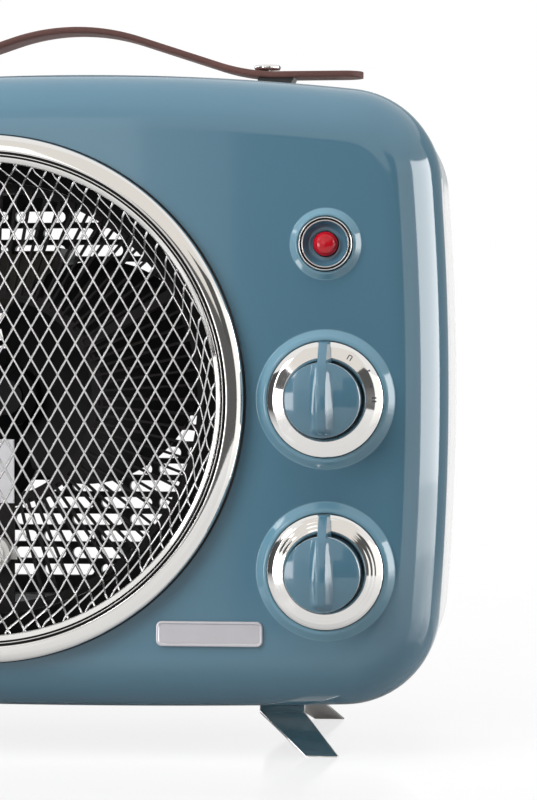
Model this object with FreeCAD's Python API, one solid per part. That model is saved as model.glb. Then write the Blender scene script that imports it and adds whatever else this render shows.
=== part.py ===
import FreeCAD, Part
import math
import os

Vector = FreeCAD.Vector

# A table-top fan heater with a moulded two-part case, in millimetres.
# X runs to the right as seen from the front, Y to the rear and Z up from the floor.
# Depths are measured to the rear from the flat face of the front panel.

# Case
body_width = 278.1
body_height = 227.2
front_depth = 30.0
rear_depth = 102.0
ground_clearance = 16.9
shell_wall = 2.5
corner_radius = 34.6
side_bow_radius = 990.0
top_bow_radius = 935.0
base_bow_radius = 3475.0
front_edge_radius = 20.0
rear_edge_radius = 30.0
hollow_steps = 3
shell_step = 0.6
parting_gap = 0.4
lip_length = 4.0
lip_wall = 1.4

# Clearances
loose_clearance = 0.3
screw_clearance = 0.2
running_clearance = 0.03
seat_clearance = 0.05

# Front grille: bezel ring and pressed mesh pan
grille_offset = -25.5
grille_drop = 2.7
opening_radius = 86.0
ring_outer_radius = 93.8
ring_inner_radius = 83.7
ring_height = 6.6
ring_edge_height = 4.0
ring_band = 5.3
ring_groove = 0.8
ring_bead = 0.5
ring_lip_depth = 4.8
ring_lip_wall = 2.3
ring_collar_wall = 1.0
mesh_sheet = 1.0
mesh_depth = 9.5
mesh_wall_run = 5.6
mesh_flange = 1.8
mesh_pitch_x = 6.4
mesh_pitch_z = 11.2
mesh_strand = 1.2
mesh_phase_z = 2.9
mesh_wall_hole = 7.2
mesh_sides = 36

# Rear intake grille
intake_half = 76.0
intake_corner = 20.0
intake_flange = 3.5
intake_flange_sheet = 1.6
intake_recess = 0.5
intake_margin = 3.0
slot_length = 20.5
slot_height = 4.5
slot_bridge = 2.7
slot_row_pitch = 6.7
slot_shift = -2.9

# Air duct
duct_sheet = 0.8
duct_flange_radius = 98.0
duct_rear_flange = 10.0
duct_gap = 1.0
duct_rear = 96.0
duct_screw_circle = 92.0
duct_boss_radius = 3.5

# Heating element
element_depth = 20.0
mica_sheet = 1.0
mica_outer_band = 3.4
mica_inner_radius = 36.0
mica_inner_band = 4.0
mica_spoke = 4.0
board_width = 15.0
board_top = 15.0
strip_width = 15.0
wire_size = 0.8
wire_loops = 40
wire_outer_radius = 75.8
wire_inner_radius = 38.0
wire_gap_angle = 28.0
cutout_radius = 6.5
cutout_cap_radius = 4.5
cutout_height = 5.0
cutout_drop = 56.0
tab_width = 4.8
tab_sheet = 0.8
tab_length = 8.0

# Fan and motor
fan_depth = 54.0
fan_hub_radius = 11.0
fan_hub_length = 24.0
fan_nose_radius = 6.6
fan_nose_length = 3.0
paddle_radius = 41.5
paddle_centre = 32.0
blade_sheet = 1.4
blade_pitch = 24.0
blade_camber = 2.5
blade_rest_angle = 17.6
blade_count = 2
shaft_radius = 2.5
shaft_overhang = 2.0
stack_front = 86.0
stack_thickness = 20.0
stack_half_width = 28.0
stack_below = 24.0
stack_window_low = 18.0
stack_window_high = 38.0
stack_top = 50.0
rotor_radius = 14.0
air_gap = 0.5
bobbin_wall = 1.0
bobbin_half_length = 14.0
bobbin_flange = 1.2
bobbin_cheek = 5.0
coil_thickness = 4.0
bridge_sheet = 2.0
bridge_stand = 7.0
bridge_half_length = 24.0
bridge_half_height = 7.0
bridge_leg = 7.0
bush_outer_radius = 4.5
bush_length = 7.0
bush_cup_radius = 7.0
bolt_radius = 1.6
bolt_head_radius = 3.0
bolt_head_height = 2.0
arm_sheet = 1.5
arm_half_height = 8.0

# Controls
control_offset = 96.6
thermostat_drop = 60.4
pilot_rise = 54.5
dial_outer_radius = 20.3
dial_inner_radius = 13.7
dial_edge_height = 4.3
dial_crown_height = 5.2
dial_inner_height = 4.6
dial_bevel = 1.6
rim_height = 5.0
rim_crest = 1.0
rim_width = 3.0
rim_blend = 1.0
knob_clearance = 0.6
knob_lift = 1.0
knob_height = 15.5
knob_crown = 1.9
knob_bevel = 0.8
knob_wall = 1.9
knob_roof = 6.5
knob_hub_radius = 5.4
knob_reach = 24.0
fin_ridge_width = 3.0
fin_base_width = 8.6
fin_neck_width = 5.4
fin_neck_height = 17.0
fin_tip_width = 4.4
fin_tip_height = 10.6
pointer_lift = 1.2
spindle_radius = 3.0
spindle_flat = 2.2
spindle_cover = 1.5
control_bush_radius = 4.5
control_bush_reach = 3.6
hub_gap = 0.8
nut_flats = 11.0
nut_height = 2.4
switch_half = 15.0
switch_depth = 18.5
thermostat_plate_width = 24.0
thermostat_plate_height = 42.0
thermostat_plate = 1.5
stack_insulator_radius = 6.0
stack_insulator_length = 16.0
spring_blade_width = 8.0
spring_blade_sheet = 0.8
contact_blade_lift = 7.2
bimetal_blade_lift = 12.0

# Pilot lamp
pilot_bezel_radius = 9.5
pilot_dish_radius = 7.9
pilot_tube_radius = 6.0
pilot_tube_length = 8.0
pilot_bezel_height = 3.3
pilot_lip_bevel = 0.5
pilot_dish_floor = 0.6
pilot_rim_height = 3.0
pilot_rim_width = 1.4
pilot_rim_crest = 0.5
pilot_rim_blend = 0.5
lens_radius = 4.3
lens_height = 2.8
lens_bevel = 1.3
lens_crown = 0.4
lamp_length = 13.0
clip_radius = 9.0
clip_sheet = 1.2

# Name plate, left bare
badge_offset = 55.8
badge_drop = 82.6
badge_width = 37.5
badge_height = 9.1
badge_sheet = 1.2
badge_corner = 1.4
badge_rim = 0.9
badge_recess = 0.4

# Carrying strap
strap_depth = 54.0
strap_width = 16.0
strap_sheet = 2.2
strap_seat_height = 4.4
strap_rise = 17.1
strap_slope = 18.3
strap_crown_radius = 76.0
strap_foot_radius = 70.0
strap_end = 106.0
strap_end_radius = 7.0
stud_offset = 70.6
stud_radius = 2.0
stud_neck_radius = 1.3
stud_neck_length = 0.9
stud_head_radius = 4.9
stud_head_height = 1.9
stud_head_edge = 0.5
stud_hole_clearance = 0.6
seat_inner = 3.1
seat_outer = 10.4
seat_taper = 2.5
seat_width = 12.0
stud_nut_flats = 7.0
stud_nut_height = 3.0

# Feet
foot_sheet = 1.5
foot_top_inner = 72.0
foot_top_outer = 87.0
foot_toe_inner = 89.5
foot_toe_outer = 100.0
foot_flange = 16.0
front_foot_bend = 31.5
front_foot_toe = 14.0
rear_foot_bend = 107.0
rear_foot_toe = 122.0
rear_foot_inset = 6.0
foot_boss_radius = 3.5
foot_boss_height = 8.0

# Screws
screw_radius = 1.5
screw_head_radius = 3.0
screw_head_height = 1.8
case_screw_inset = 23.0
case_boss_radius = 4.0
case_boss_end = 36.0
case_post_radius = 6.0
case_post_floor = 4.0
case_screw_length = 18.0
duct_screw_length = 6.0
arm_screw_length = 5.0

# Mains inlet
gland_inset = 49.05
gland_rise = 45.1
gland_radius = 6.0
gland_flange_radius = 8.5
gland_flange = 3.0
gland_length = 5.0
gland_bore_radius = 3.7
terminal_inset = 45.05
terminal_depth = 68.0
terminal_width = 28.0
terminal_length = 16.0
terminal_height = 14.0
terminal_pad_rise = 7.1
terminal_ways = 3
terminal_screw_radius = 1.8

# Places worked out from the sizes above
rear_face = front_depth + rear_depth
panel_y = (knob_reach - rear_face - gland_flange) / 2
body_z = ground_clearance + body_height / 2
body_top = ground_clearance + body_height
rear_inset = shell_step + shell_wall
grille_z = body_z - grille_drop
intake_reach = intake_half + intake_flange
rear_edge_room = min(body_height / 2 - grille_drop, body_width / 2 + grille_offset) - intake_reach
rear_edge = min(rear_edge_radius, rear_edge_room)
gland_offset = body_width / 2 - gland_inset
gland_height = ground_clearance + gland_rise
terminal_offset = body_width / 2 - terminal_inset
terminal_pad_height = ground_clearance + terminal_pad_rise
selector_z = grille_z
thermostat_z = grille_z - thermostat_drop
pilot_z = grille_z + pilot_rise
badge_z = grille_z - badge_drop
collar_outer = opening_radius - loose_clearance
collar_inner = collar_outer - ring_collar_wall
lip_back = ring_lip_wall - ring_lip_depth
mesh_rim = collar_inner - loose_clearance
mesh_wall_top = mesh_rim - mesh_flange
mesh_flat_radius = mesh_wall_top - mesh_wall_run
mesh_flat_front = lip_back + mesh_depth
mesh_flat_back = mesh_flat_front + mesh_sheet
duct_radius = mesh_flat_radius + mesh_sheet
duct_front = mesh_flat_back + duct_gap
stack_rear = stack_front + stack_thickness
shaft_front = fan_depth - fan_hub_length / 2
front_bridge_face = stack_front - bridge_stand - bridge_sheet
rear_bridge_face = stack_rear + bridge_stand + bridge_sheet
shaft_rear = rear_bridge_face + shaft_overhang
knob_radius = dial_inner_radius - knob_clearance
knob_ceiling = knob_lift + knob_height - knob_roof
hub_start = control_bush_reach + hub_gap
spindle_tip = knob_ceiling - spindle_cover
rim_inner = dial_outer_radius + loose_clearance
pilot_rim_inner = pilot_bezel_radius + loose_clearance
pointer_height = dial_crown_height + pointer_lift


def at(x, depth, z):
    """A point at a depth behind the panel's face."""
    return Vector(x, panel_y + depth, z)


def rod(x, z, radius, depth_from, depth_to):
    """A round bar along the depth."""
    return Part.makeCylinder(radius, depth_to - depth_from, at(x, depth_from, z), Vector(0, 1, 0))


def pillar(x, depth, radius, z_from, z_to):
    """A round bar standing upright."""
    return Part.makeCylinder(radius, z_to - z_from, at(x, depth, z_from))


def block(x_from, x_to, depth_from, depth_to, z_from, z_to):
    """A square-edged block between two corners."""
    corner = at(x_from, depth_from, z_from)
    return Part.makeBox(x_to - x_from, depth_to - depth_from, z_to - z_from, corner)


def drawn(place, start, *moves):
    """A closed wire: a move is an end point, or a middle and an end point for an arc."""
    edges = []
    here = start
    for move in moves + (start,):
        if isinstance(move[0], tuple):
            middle, end = move
            edges.append(Part.Arc(place(here), place(middle), place(end)).toShape())
        else:
            end = move
            if place(here).distanceToPoint(place(end)) > 1e-6:
                edges.append(Part.makeLine(place(here), place(end)))
        here = end
    return Part.Wire(edges)


def turned(x, z, start, *moves):
    """A solid turned about a line along the depth: points are radius and depth."""
    def place(point):
        return at(x + point[0], point[1], z)
    section = Part.Face(drawn(place, start, *moves))
    return section.revolve(Vector(x, 0, z), Vector(0, 1, 0), 360)


def crown(rim_radius, rim_depth, pole_depth):
    """The middle and end of an arc from a rim to a pole, which it meets square to the axis."""
    rise = pole_depth - rim_depth
    radius = (rim_radius ** 2 + rise ** 2) / (2 * rise)
    half = rim_radius / 2
    drop = radius - math.copysign(math.sqrt(radius ** 2 - half ** 2), radius)
    return ((half, pole_depth - drop), (0, pole_depth))


def turned_upright(x, depth, start, *moves):
    """A solid turned about an upright line: points are radius and height."""
    def place(point):
        return at(x + point[0], depth, point[1])
    section = Part.Face(drawn(place, start, *moves))
    return section.revolve(at(x, depth, 0), Vector(0, 0, 1), 360)


def front_prism(depth_from, depth_to, start, *moves):
    """A solid with an outline seen from the front: points are X and Z."""
    def place(point):
        return at(point[0], depth_from, point[1])
    face = Part.Face(drawn(place, start, *moves))
    return face.extrude(Vector(0, depth_to - depth_from, 0))


def side_prism(x_from, x_to, start, *moves):
    """A solid with an outline seen from the side: points are depth and Z."""
    def place(point):
        return at(x_from, point[0], point[1])
    face = Part.Face(drawn(place, start, *moves))
    return face.extrude(Vector(x_to - x_from, 0, 0))


def spun(shape, x, z, angle):
    """A copy turned clockwise, as seen from the front, about a line along the depth."""
    copy = shape.copy()
    copy.rotate(Vector(x, 0, z), Vector(0, 1, 0), angle)
    return copy


def hex_nut(x, z, flats, depth_from, depth_to):
    """A hexagonal bar along the depth."""
    radius = flats / math.sqrt(3)
    corners = [Vector(radius * math.cos(math.radians(60 * k)), 0, radius * math.sin(math.radians(60 * k)))
               for k in range(6)]
    wire = Part.makePolygon([at(x, depth_from, z) + corner for corner in corners + corners[:1]])
    return Part.Face(wire).extrude(Vector(0, depth_to - depth_from, 0))


def rounded_plate(x, z, half_width, half_height, corner, depth_from, depth_to):
    """A plate with rounded corners, seen from the front."""
    face = rounded_face(x, z, half_width, half_height, corner, depth_from)
    return face.extrude(Vector(0, depth_to - depth_from, 0))


def rounded_face(x, z, half_width, half_height, corner, depth):
    """A flat face with rounded corners, seen from the front."""
    return Part.Face(rounded_wire(x, z, half_width, half_height, corner, depth))


def rounded_wire(x, z, half_width, half_height, corner, depth):
    """The outline of a rectangle with rounded corners, seen from the front."""
    def place(point):
        return at(x + point[0], depth, z + point[1])
    inner_x = half_width - corner
    inner_z = half_height - corner
    bulge = corner * math.sqrt(0.5)
    moves = []
    for side_x, side_z in ((1, 1), (-1, 1), (-1, -1), (1, -1)):
        end_on_side = (side_x * half_width, side_z * inner_z)
        end_on_top = (side_x * inner_x, side_z * half_height)
        middle = (side_x * (inner_x + bulge), side_z * (inner_z + bulge))
        first, last = (end_on_side, end_on_top) if side_x == side_z else (end_on_top, end_on_side)
        moves.append(first)
        moves.append((middle, last))
    return drawn(place, moves[0], *moves[1:])


# The case's outline: bowed sides joined by tangent corner arcs

def corner_centre(first, first_radius, second, second_radius):
    """Where two circles cross, on the right-hand side."""
    apart = second - first
    distance = apart.Length
    along = (first_radius ** 2 - second_radius ** 2 + distance ** 2) / (2 * distance)
    across = math.sqrt(first_radius ** 2 - along ** 2)
    direction = apart / distance
    normal = Vector(-direction.z, 0, direction.x)
    base = first + direction * along
    return max(base + normal * across, base - normal * across, key=lambda point: point.x)


def outline(inset, depth):
    """The case's outline, drawn in all round by inset, at a depth."""
    half_width = body_width / 2
    half_height = body_height / 2
    side = Vector(half_width - side_bow_radius, 0, 0)
    top = Vector(0, 0, half_height - top_bow_radius)
    base = Vector(0, 0, base_bow_radius - half_height)
    side_reach = side_bow_radius - corner_radius
    upper = corner_centre(side, side_reach, top, top_bow_radius - corner_radius)
    lower = corner_centre(side, side_reach, base, base_bow_radius - corner_radius)

    def point_on(centre, radius, towards):
        return centre + (towards - centre).normalize() * (radius - inset)

    def corner_middle(centre, first, second):
        direction = (centre - first).normalize() + (centre - second).normalize()
        return centre + direction.normalize() * (corner_radius - inset)

    base_end = point_on(base, base_bow_radius, lower)
    side_start = point_on(side, side_bow_radius, lower)
    side_end = point_on(side, side_bow_radius, upper)
    top_start = point_on(top, top_bow_radius, upper)
    right = [(base_end, corner_middle(lower, base, side), side_start),
             (side_start, Vector(half_width - inset, 0, 0), side_end),
             (side_end, corner_middle(upper, side, top), top_start)]
    left = [tuple(Vector(-point.x, 0, point.z) for point in reversed(arc)) for arc in reversed(right)]
    over = (top_start, Vector(0, 0, half_height - inset), left[0][0])
    under = (left[-1][2], Vector(0, 0, inset - half_height), base_end)
    middle = at(0, depth, body_z)
    arcs = right + [over] + left + [under]
    edges = [Part.Arc(*(middle + point for point in arc)).toShape() for arc in arcs]
    return Part.Wire(edges)


def slab(inset, depth_from, depth_to):
    """The case's outline as a straight-sided slab."""
    return Part.Face(outline(inset, depth_from)).extrude(Vector(0, depth_to - depth_from, 0))


def tray(inset, depth_from, depth_to, rounded_end, radius):
    """A slab with the edge of one end rounded."""
    plain = slab(inset, depth_from, depth_to)
    end_y = panel_y + rounded_end
    edges = [edge for edge in plain.Edges
             if abs(edge.BoundBox.YMin - end_y) < 0.01 and abs(edge.BoundBox.YMax - end_y) < 0.01]
    return plain.makeFillet(radius, edges)


def stepped_tray(inset, depth_from, depth_to, rounded_end, radius):
    """A slab with the edge of one end rounded off in a few steps."""
    inward = 1 if rounded_end == depth_from else -1
    sections = []
    for step in range(hollow_steps + 1):
        turn = math.pi / 2 * step / hollow_steps
        depth = rounded_end + inward * radius * (1 - math.cos(turn))
        sections.append(outline(inset + radius * (1 - math.sin(turn)), depth))
    sections.append(outline(inset, depth_to if inward > 0 else depth_from))
    return Part.makeLoft(sections, True, True)


def front_outside():
    """The front shell's outer form."""
    return tray(0, 0, front_depth, 0, front_edge_radius)


def rear_outside(clearance=0):
    """The rear shell's outer form, grown by a clearance."""
    start = front_depth + parting_gap
    return tray(shell_step - clearance, start, rear_face + clearance, rear_face + clearance,
                rear_edge + clearance)


def case_spots():
    """Where the four case screws stand: X and Z."""
    reach_x = body_width / 2 - case_screw_inset
    reach_z = body_height / 2 - case_screw_inset
    return [(side * reach_x, body_z + level * reach_z) for side in (-1, 1) for level in (-1, 1)]


def duct_spots():
    """Where the duct's four screws stand: X and Z."""
    reach = duct_screw_circle * math.sqrt(0.5)
    return [(grille_offset + side * reach, grille_z + level * reach) for side in (-1, 1) for level in (-1, 1)]


def arm_spots():
    """Where the motor arms are screwed to the duct's rear flange: X and Z."""
    reach = duct_radius + duct_rear_flange / 2
    return [(grille_offset + side * reach, grille_z) for side in (-1, 1)]


def base_at(x):
    """The height of the rear shell's underside at a distance from the middle."""
    bow = base_bow_radius - math.sqrt(base_bow_radius ** 2 - x ** 2)
    return ground_clearance + shell_step + bow


def top_at(x):
    """The height of the rear shell's top at a distance from the middle."""
    bow = top_bow_radius - math.sqrt(top_bow_radius ** 2 - x ** 2)
    return body_top - shell_step - bow


def raised_rim(x, z, inner, crest, width, height, blend):
    """A rim moulded on the panel round a control, blending into the panel at its foot."""
    foot = inner + width
    root = shell_wall / 2
    fall = width - crest
    shoulder = (foot - fall + fall * math.sqrt(0.5), (height - blend) * (1 - math.sqrt(0.5)) - height)
    return turned(x, z, (inner, root), (foot + blend, root), (foot + blend, 0), (foot, -blend),
                  (shoulder, (inner + crest, -height)), (inner, crest / 2 - height))


def front_shell():
    """The gloss front half of the case, with its moulded rims and screw bosses."""
    outside = front_outside()
    hollow = stepped_tray(shell_wall, shell_wall, front_depth + shell_wall, shell_wall,
                          front_edge_radius - shell_wall)
    added = [raised_rim(control_offset, z, rim_inner, rim_crest, rim_width, rim_height, rim_blend)
             for z in (selector_z, thermostat_z)]
    added.append(raised_rim(control_offset, pilot_z, pilot_rim_inner, pilot_rim_crest, pilot_rim_width,
                            pilot_rim_height, pilot_rim_blend))
    cuts = [rod(grille_offset, grille_z, opening_radius, -ring_height, shell_wall * 2)]
    for z in (selector_z, thermostat_z):
        cuts.append(rod(control_offset, z, control_bush_radius + screw_clearance,
                        -rim_height, shell_wall * 2))
    cuts.append(rod(control_offset, pilot_z, pilot_tube_radius + screw_clearance,
                    -rim_height, shell_wall * 2))
    for x, z in case_spots():
        boss = rod(x, z, case_boss_radius, shell_wall / 2, front_depth).common(outside)
        added.append(boss.fuse(rod(x, z, case_boss_radius, front_depth - shell_wall, case_boss_end)))
        cuts.append(rod(x, z, screw_radius + seat_clearance,
                        case_boss_end - case_screw_length, case_boss_end))
    for x, z in duct_spots():
        added.append(rod(x, z, duct_boss_radius, shell_wall / 2, duct_front))
        cuts.append(rod(x, z, screw_radius + seat_clearance, duct_front - duct_screw_length, duct_front))
    return outside.cut(hollow).fuse(added).cut(cuts)


def rear_shell():
    """The white rear half of the case, with its lip, screw posts and foot bosses."""
    outside = rear_outside()
    start = front_depth + parting_gap
    hollow = stepped_tray(rear_inset, start - shell_wall, rear_face - shell_wall, rear_face - shell_wall,
                          rear_edge - shell_wall)
    lip_outer = shell_wall + loose_clearance
    lip_inner = lip_outer + lip_wall
    lip = slab(lip_outer, front_depth - lip_length, start + shell_wall)
    root = slab(shell_step + shell_wall / 2, start, start + lip_length)
    bore = slab(lip_inner, front_depth - 2 * lip_length, start + 2 * lip_length)
    added = [lip.fuse(root).cut(bore)]
    window = rounded_plate(grille_offset, grille_z, intake_half + loose_clearance,
                           intake_half + loose_clearance, intake_corner, rear_face - 2 * shell_wall,
                           rear_face + shell_wall)
    cuts = [window]
    cuts.append(rod(gland_offset, gland_height, gland_radius + screw_clearance, rear_face - 2 * shell_wall,
                    rear_face + shell_wall))
    for x, z in case_spots():
        added.append(rod(x, z, case_post_radius, case_boss_end, rear_face).common(outside))
        seat = case_boss_end + case_post_floor
        cuts.append(rod(x, z, screw_head_radius + screw_clearance, seat, rear_face))
        cuts.append(rod(x, z, screw_radius + screw_clearance, case_boss_end, seat))
    for side in (-1, 1):
        x = side * stud_offset
        cuts.append(pillar(x, strap_depth, stud_radius + screw_clearance, body_z, body_top))
    for x, depth in foot_screw_spots():
        low = base_at(abs(x)) + shell_wall / 2
        high = base_at(abs(x)) + foot_boss_height
        added.append(pillar(x, depth, foot_boss_radius, low, high))
        cuts.append(pillar(x, depth, screw_radius + seat_clearance, 0, high - shell_wall / 2))
    pad_low = base_at(terminal_offset + terminal_width / 2) + shell_wall / 2
    added.append(block(terminal_offset - terminal_width / 2, terminal_offset + terminal_width / 2,
                       terminal_depth - terminal_length / 2, terminal_depth + terminal_length / 2,
                       pad_low, terminal_pad_height))
    return outside.cut(hollow).fuse(added).cut(cuts)


def slot_wire(x_from, x_to, z, depth):
    """One slot as a closed wire."""
    half = slot_height / 2
    points = [(x_from, half), (x_to, half), (x_to, -half), (x_from, -half)]
    corners = [at(grille_offset + x, depth, z + rise) for x, rise in points]
    return Part.makePolygon(corners + corners[:1])


def intake_grille():
    """The black rear grille: rows of slots laid like bricks, with a flange behind the rear wall."""
    front = rear_face - shell_wall - intake_flange_sheet
    limit = intake_half - intake_margin
    pitch = slot_length + slot_bridge
    rows = int((limit - slot_height / 2) / slot_row_pitch + 0.5)
    across = int(limit / pitch) + 2
    holes = []
    for row in range(-rows, rows):
        z = grille_z + (row + 0.5) * slot_row_pitch
        into_corner = max(0, abs(z - grille_z) + slot_height / 2 - intake_half + intake_corner)
        corner_loss = intake_corner - math.sqrt(intake_corner ** 2 - min(into_corner, intake_corner) ** 2)
        row_limit = limit - corner_loss
        stagger = slot_shift + (0.5 if row % 2 else 0.0) * pitch
        for column in range(-across, across + 1):
            middle = stagger + column * pitch
            x_from = max(middle - slot_length / 2, -row_limit)
            x_to = min(middle + slot_length / 2, row_limit)
            if x_to - x_from > slot_height:
                holes.append(slot_wire(x_from, x_to, z, front))
    border = rounded_wire(grille_offset, grille_z, intake_half, intake_half, intake_corner, front)
    plate = Part.Face([border] + holes).extrude(Vector(0, rear_face - intake_recess - front, 0))
    flange = rounded_plate(grille_offset, grille_z, intake_reach, intake_reach,
                           intake_corner + intake_flange, front, front + intake_flange_sheet)
    inside = rounded_plate(grille_offset, grille_z, intake_half, intake_half, intake_corner, front,
                           front + intake_flange_sheet)
    return plate.fuse(flange.cut(inside))


def grille_ring():
    """The chromed bezel: a crowned outer band, two fine grooves and a sloping inner lip."""
    crest = ring_outer_radius - ring_band
    floor = ring_groove - ring_height
    fall = (ring_height - ring_edge_height) / 4
    shoulder = (crest + ring_band / 2, fall - ring_height)
    bead_start = crest - ring_groove
    bead_end = bead_start - ring_bead
    lip_start = bead_end - ring_groove
    return turned(grille_offset, grille_z, (ring_outer_radius, 0), (ring_outer_radius, -ring_edge_height),
                  (shoulder, (crest, -ring_height)),
                  (crest, floor), (bead_start, floor), (bead_start, -ring_height),
                  (bead_end, -ring_height), (bead_end, floor), (lip_start, floor), (lip_start, -ring_height),
                  (ring_inner_radius, -ring_lip_depth), (ring_inner_radius, lip_back),
                  (collar_inner, lip_back), (collar_inner, duct_front), (collar_outer, duct_front),
                  (collar_outer, 0))


def diamond(x, z, half_width, half_height, depth):
    """One opening of the mesh as a closed wire."""
    corners = [at(x + half_width, depth, z), at(x, depth, z + half_height),
               at(x - half_width, depth, z), at(x, depth, z - half_height)]
    return Part.makePolygon(corners + corners[:1])


def mesh_polygon(radius, depth):
    """The many-sided outline of the mesh pan at a depth."""
    corners = []
    for side in range(mesh_sides):
        angle = 2 * math.pi * side / mesh_sides
        corners.append(at(grille_offset + radius * math.sin(angle), depth,
                          grille_z + radius * math.cos(angle)))
    return Part.makePolygon(corners + corners[:1])


def mesh_frustum(radius_front, depth_front, radius_back, depth_back):
    """A many-sided cone between two depths of the mesh pan."""
    ends = [mesh_polygon(radius_front, depth_front), mesh_polygon(radius_back, depth_back)]
    return Part.makeLoft(ends, True, True)


def mesh_grille():
    """The expanded-metal pan: a flat holed face, a sloping holed wall and a flange under the ring's lip."""
    half_x = mesh_pitch_x / 2
    half_z = mesh_pitch_z / 2
    edge_distance = half_x * half_z / math.hypot(half_x, half_z)
    shrink = 1 - mesh_strand / 2 / edge_distance
    hole_x = half_x * shrink
    hole_z = half_z * shrink
    limit = mesh_flat_radius * math.cos(math.pi / mesh_sides) - mesh_strand
    rows = int(limit / half_z) + 2
    columns = int(limit / mesh_pitch_x) + 2
    holes = []
    for row in range(-rows, rows + 1):
        rise = mesh_phase_z + row * half_z
        for column in range(-columns, columns + 1):
            run = (column + (0.5 if row % 2 else 0.0)) * mesh_pitch_x
            reach = max(math.hypot(abs(run) + hole_x, rise), math.hypot(run, abs(rise) + hole_z))
            if reach < limit:
                holes.append(diamond(grille_offset + run, grille_z + rise, hole_x, hole_z, mesh_flat_front))
    border = mesh_polygon(mesh_flat_radius, mesh_flat_front)
    flat = Part.Face([border] + holes).extrude(Vector(0, mesh_sheet, 0))
    outside = mesh_frustum(mesh_wall_top + mesh_sheet, lip_back,
                           mesh_flat_radius + mesh_sheet, mesh_flat_back)
    inside = mesh_frustum(mesh_wall_top, lip_back, mesh_flat_radius, mesh_flat_front)
    floor = mesh_frustum(mesh_flat_radius, mesh_flat_front, mesh_flat_radius, mesh_flat_back)
    wall = outside.cut([inside, floor] + mesh_wall_holes())
    flange = mesh_frustum(mesh_rim, lip_back, mesh_rim, lip_back + mesh_sheet)
    throat = mesh_frustum(mesh_wall_top, lip_back, mesh_wall_top, lip_back + mesh_sheet)
    return flat.fuse([wall, flange.cut(throat)])


def mesh_wall_holes():
    """The diamond cutters that open the mesh pan's sloping wall, two to each side."""
    middle_radius = (mesh_wall_top + mesh_flat_radius) / 2
    middle_depth = (lip_back + mesh_flat_front) / 2
    slope = Vector(-mesh_wall_run, mesh_depth, 0).normalize()
    normal = Vector(slope.y, -slope.x, 0)
    pitch = 2 * middle_radius * math.tan(math.pi / mesh_sides) / 2
    start = Vector(grille_offset + middle_radius, panel_y + middle_depth, grille_z) - normal * mesh_depth / 4
    along = slope * (mesh_wall_hole / 2)
    across = Vector(0, 0, (pitch - mesh_strand) / 2)
    cutters = []
    for shift in (-pitch / 2, pitch / 2):
        middle = start + Vector(0, 0, shift)
        corners = [middle + along, middle + across, middle - along, middle - across]
        cutter = Part.Face(Part.makePolygon(corners + corners[:1])).extrude(normal * mesh_depth / 2)
        cutters += [spun(cutter, grille_offset, grille_z, 360.0 * (side + 0.5) / mesh_sides)
                    for side in range(mesh_sides)]
    return cutters


def air_duct():
    """The sheet-metal duct between the mesh and the fan, flanged at both ends."""
    outer = duct_radius + duct_sheet
    rear_edge = duct_radius + duct_rear_flange
    tube = turned(grille_offset, grille_z, (duct_radius, duct_front), (duct_flange_radius, duct_front),
                  (duct_flange_radius, duct_front + duct_sheet), (outer, duct_front + duct_sheet),
                  (outer, duct_rear - duct_sheet), (rear_edge, duct_rear - duct_sheet),
                  (rear_edge, duct_rear), (duct_radius, duct_rear))
    cuts = [rod(x, z, screw_radius + screw_clearance, duct_front - duct_sheet, duct_front + 2 * duct_sheet)
            for x, z in duct_spots()]
    cuts += [rod(x, z, screw_radius + seat_clearance, duct_rear - 2 * duct_sheet, duct_rear + duct_sheet)
             for x, z in arm_spots()]
    return tube.cut(cuts)


def screw(x, z, seat, length, direction):
    """A pan-head screw along the depth, with its head under-face at seat and its point in a direction."""
    ends = sorted((seat, seat + direction * length))
    head = sorted((seat, seat - direction * screw_head_height))
    return rod(x, z, screw_radius, *ends).fuse(rod(x, z, screw_head_radius, *head))


def group(shapes):
    """Several separate solids that make one named piece."""
    return Part.makeCompound(shapes)


def duct_screws():
    """The four screws that hold the duct to the front shell."""
    seat = duct_front + duct_sheet
    return group([screw(x, z, seat, duct_screw_length, -1) for x, z in duct_spots()])


def case_screws():
    """The four long-reach screws that pull the two shells together."""
    seat = case_boss_end + case_post_floor
    return group([screw(x, z, seat, case_screw_length, -1) for x, z in case_spots()])


def arm_screws():
    """The two screws that hold the motor arms to the duct."""
    seat = duct_rear + arm_sheet
    return group([screw(x, z, seat, arm_screw_length, -1) for x, z in arm_spots()])


def ring_plate(outer, inner, depth_from, depth_to):
    """A flat ring about the fan's axis."""
    disc = rod(grille_offset, grille_z, outer, depth_from, depth_to)
    return disc.cut(rod(grille_offset, grille_z, inner, depth_from, depth_to))


def element_frame():
    """The mica frame of the heating element: two rings, two upper spokes and a lower strip."""
    rear = element_depth + mica_sheet
    outer = duct_radius - loose_clearance
    rings = [ring_plate(outer, outer - mica_outer_band, element_depth, rear),
             ring_plate(mica_inner_radius + mica_inner_band, mica_inner_radius, element_depth, rear)]
    reach = outer - mica_outer_band / 2
    spoke = block(grille_offset - mica_spoke / 2, grille_offset + mica_spoke / 2, element_depth, rear,
                  grille_z + mica_inner_radius + mica_inner_band / 2, grille_z + reach)
    strip = block(grille_offset - strip_width / 2, grille_offset + strip_width / 2, element_depth, rear,
                  grille_z - reach, grille_z - mica_inner_radius - mica_inner_band / 2)
    spokes = [spun(spoke, grille_offset, grille_z, angle) for angle in (-60, 60)]
    return rings[0].fuse([rings[1], strip] + spokes)


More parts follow.
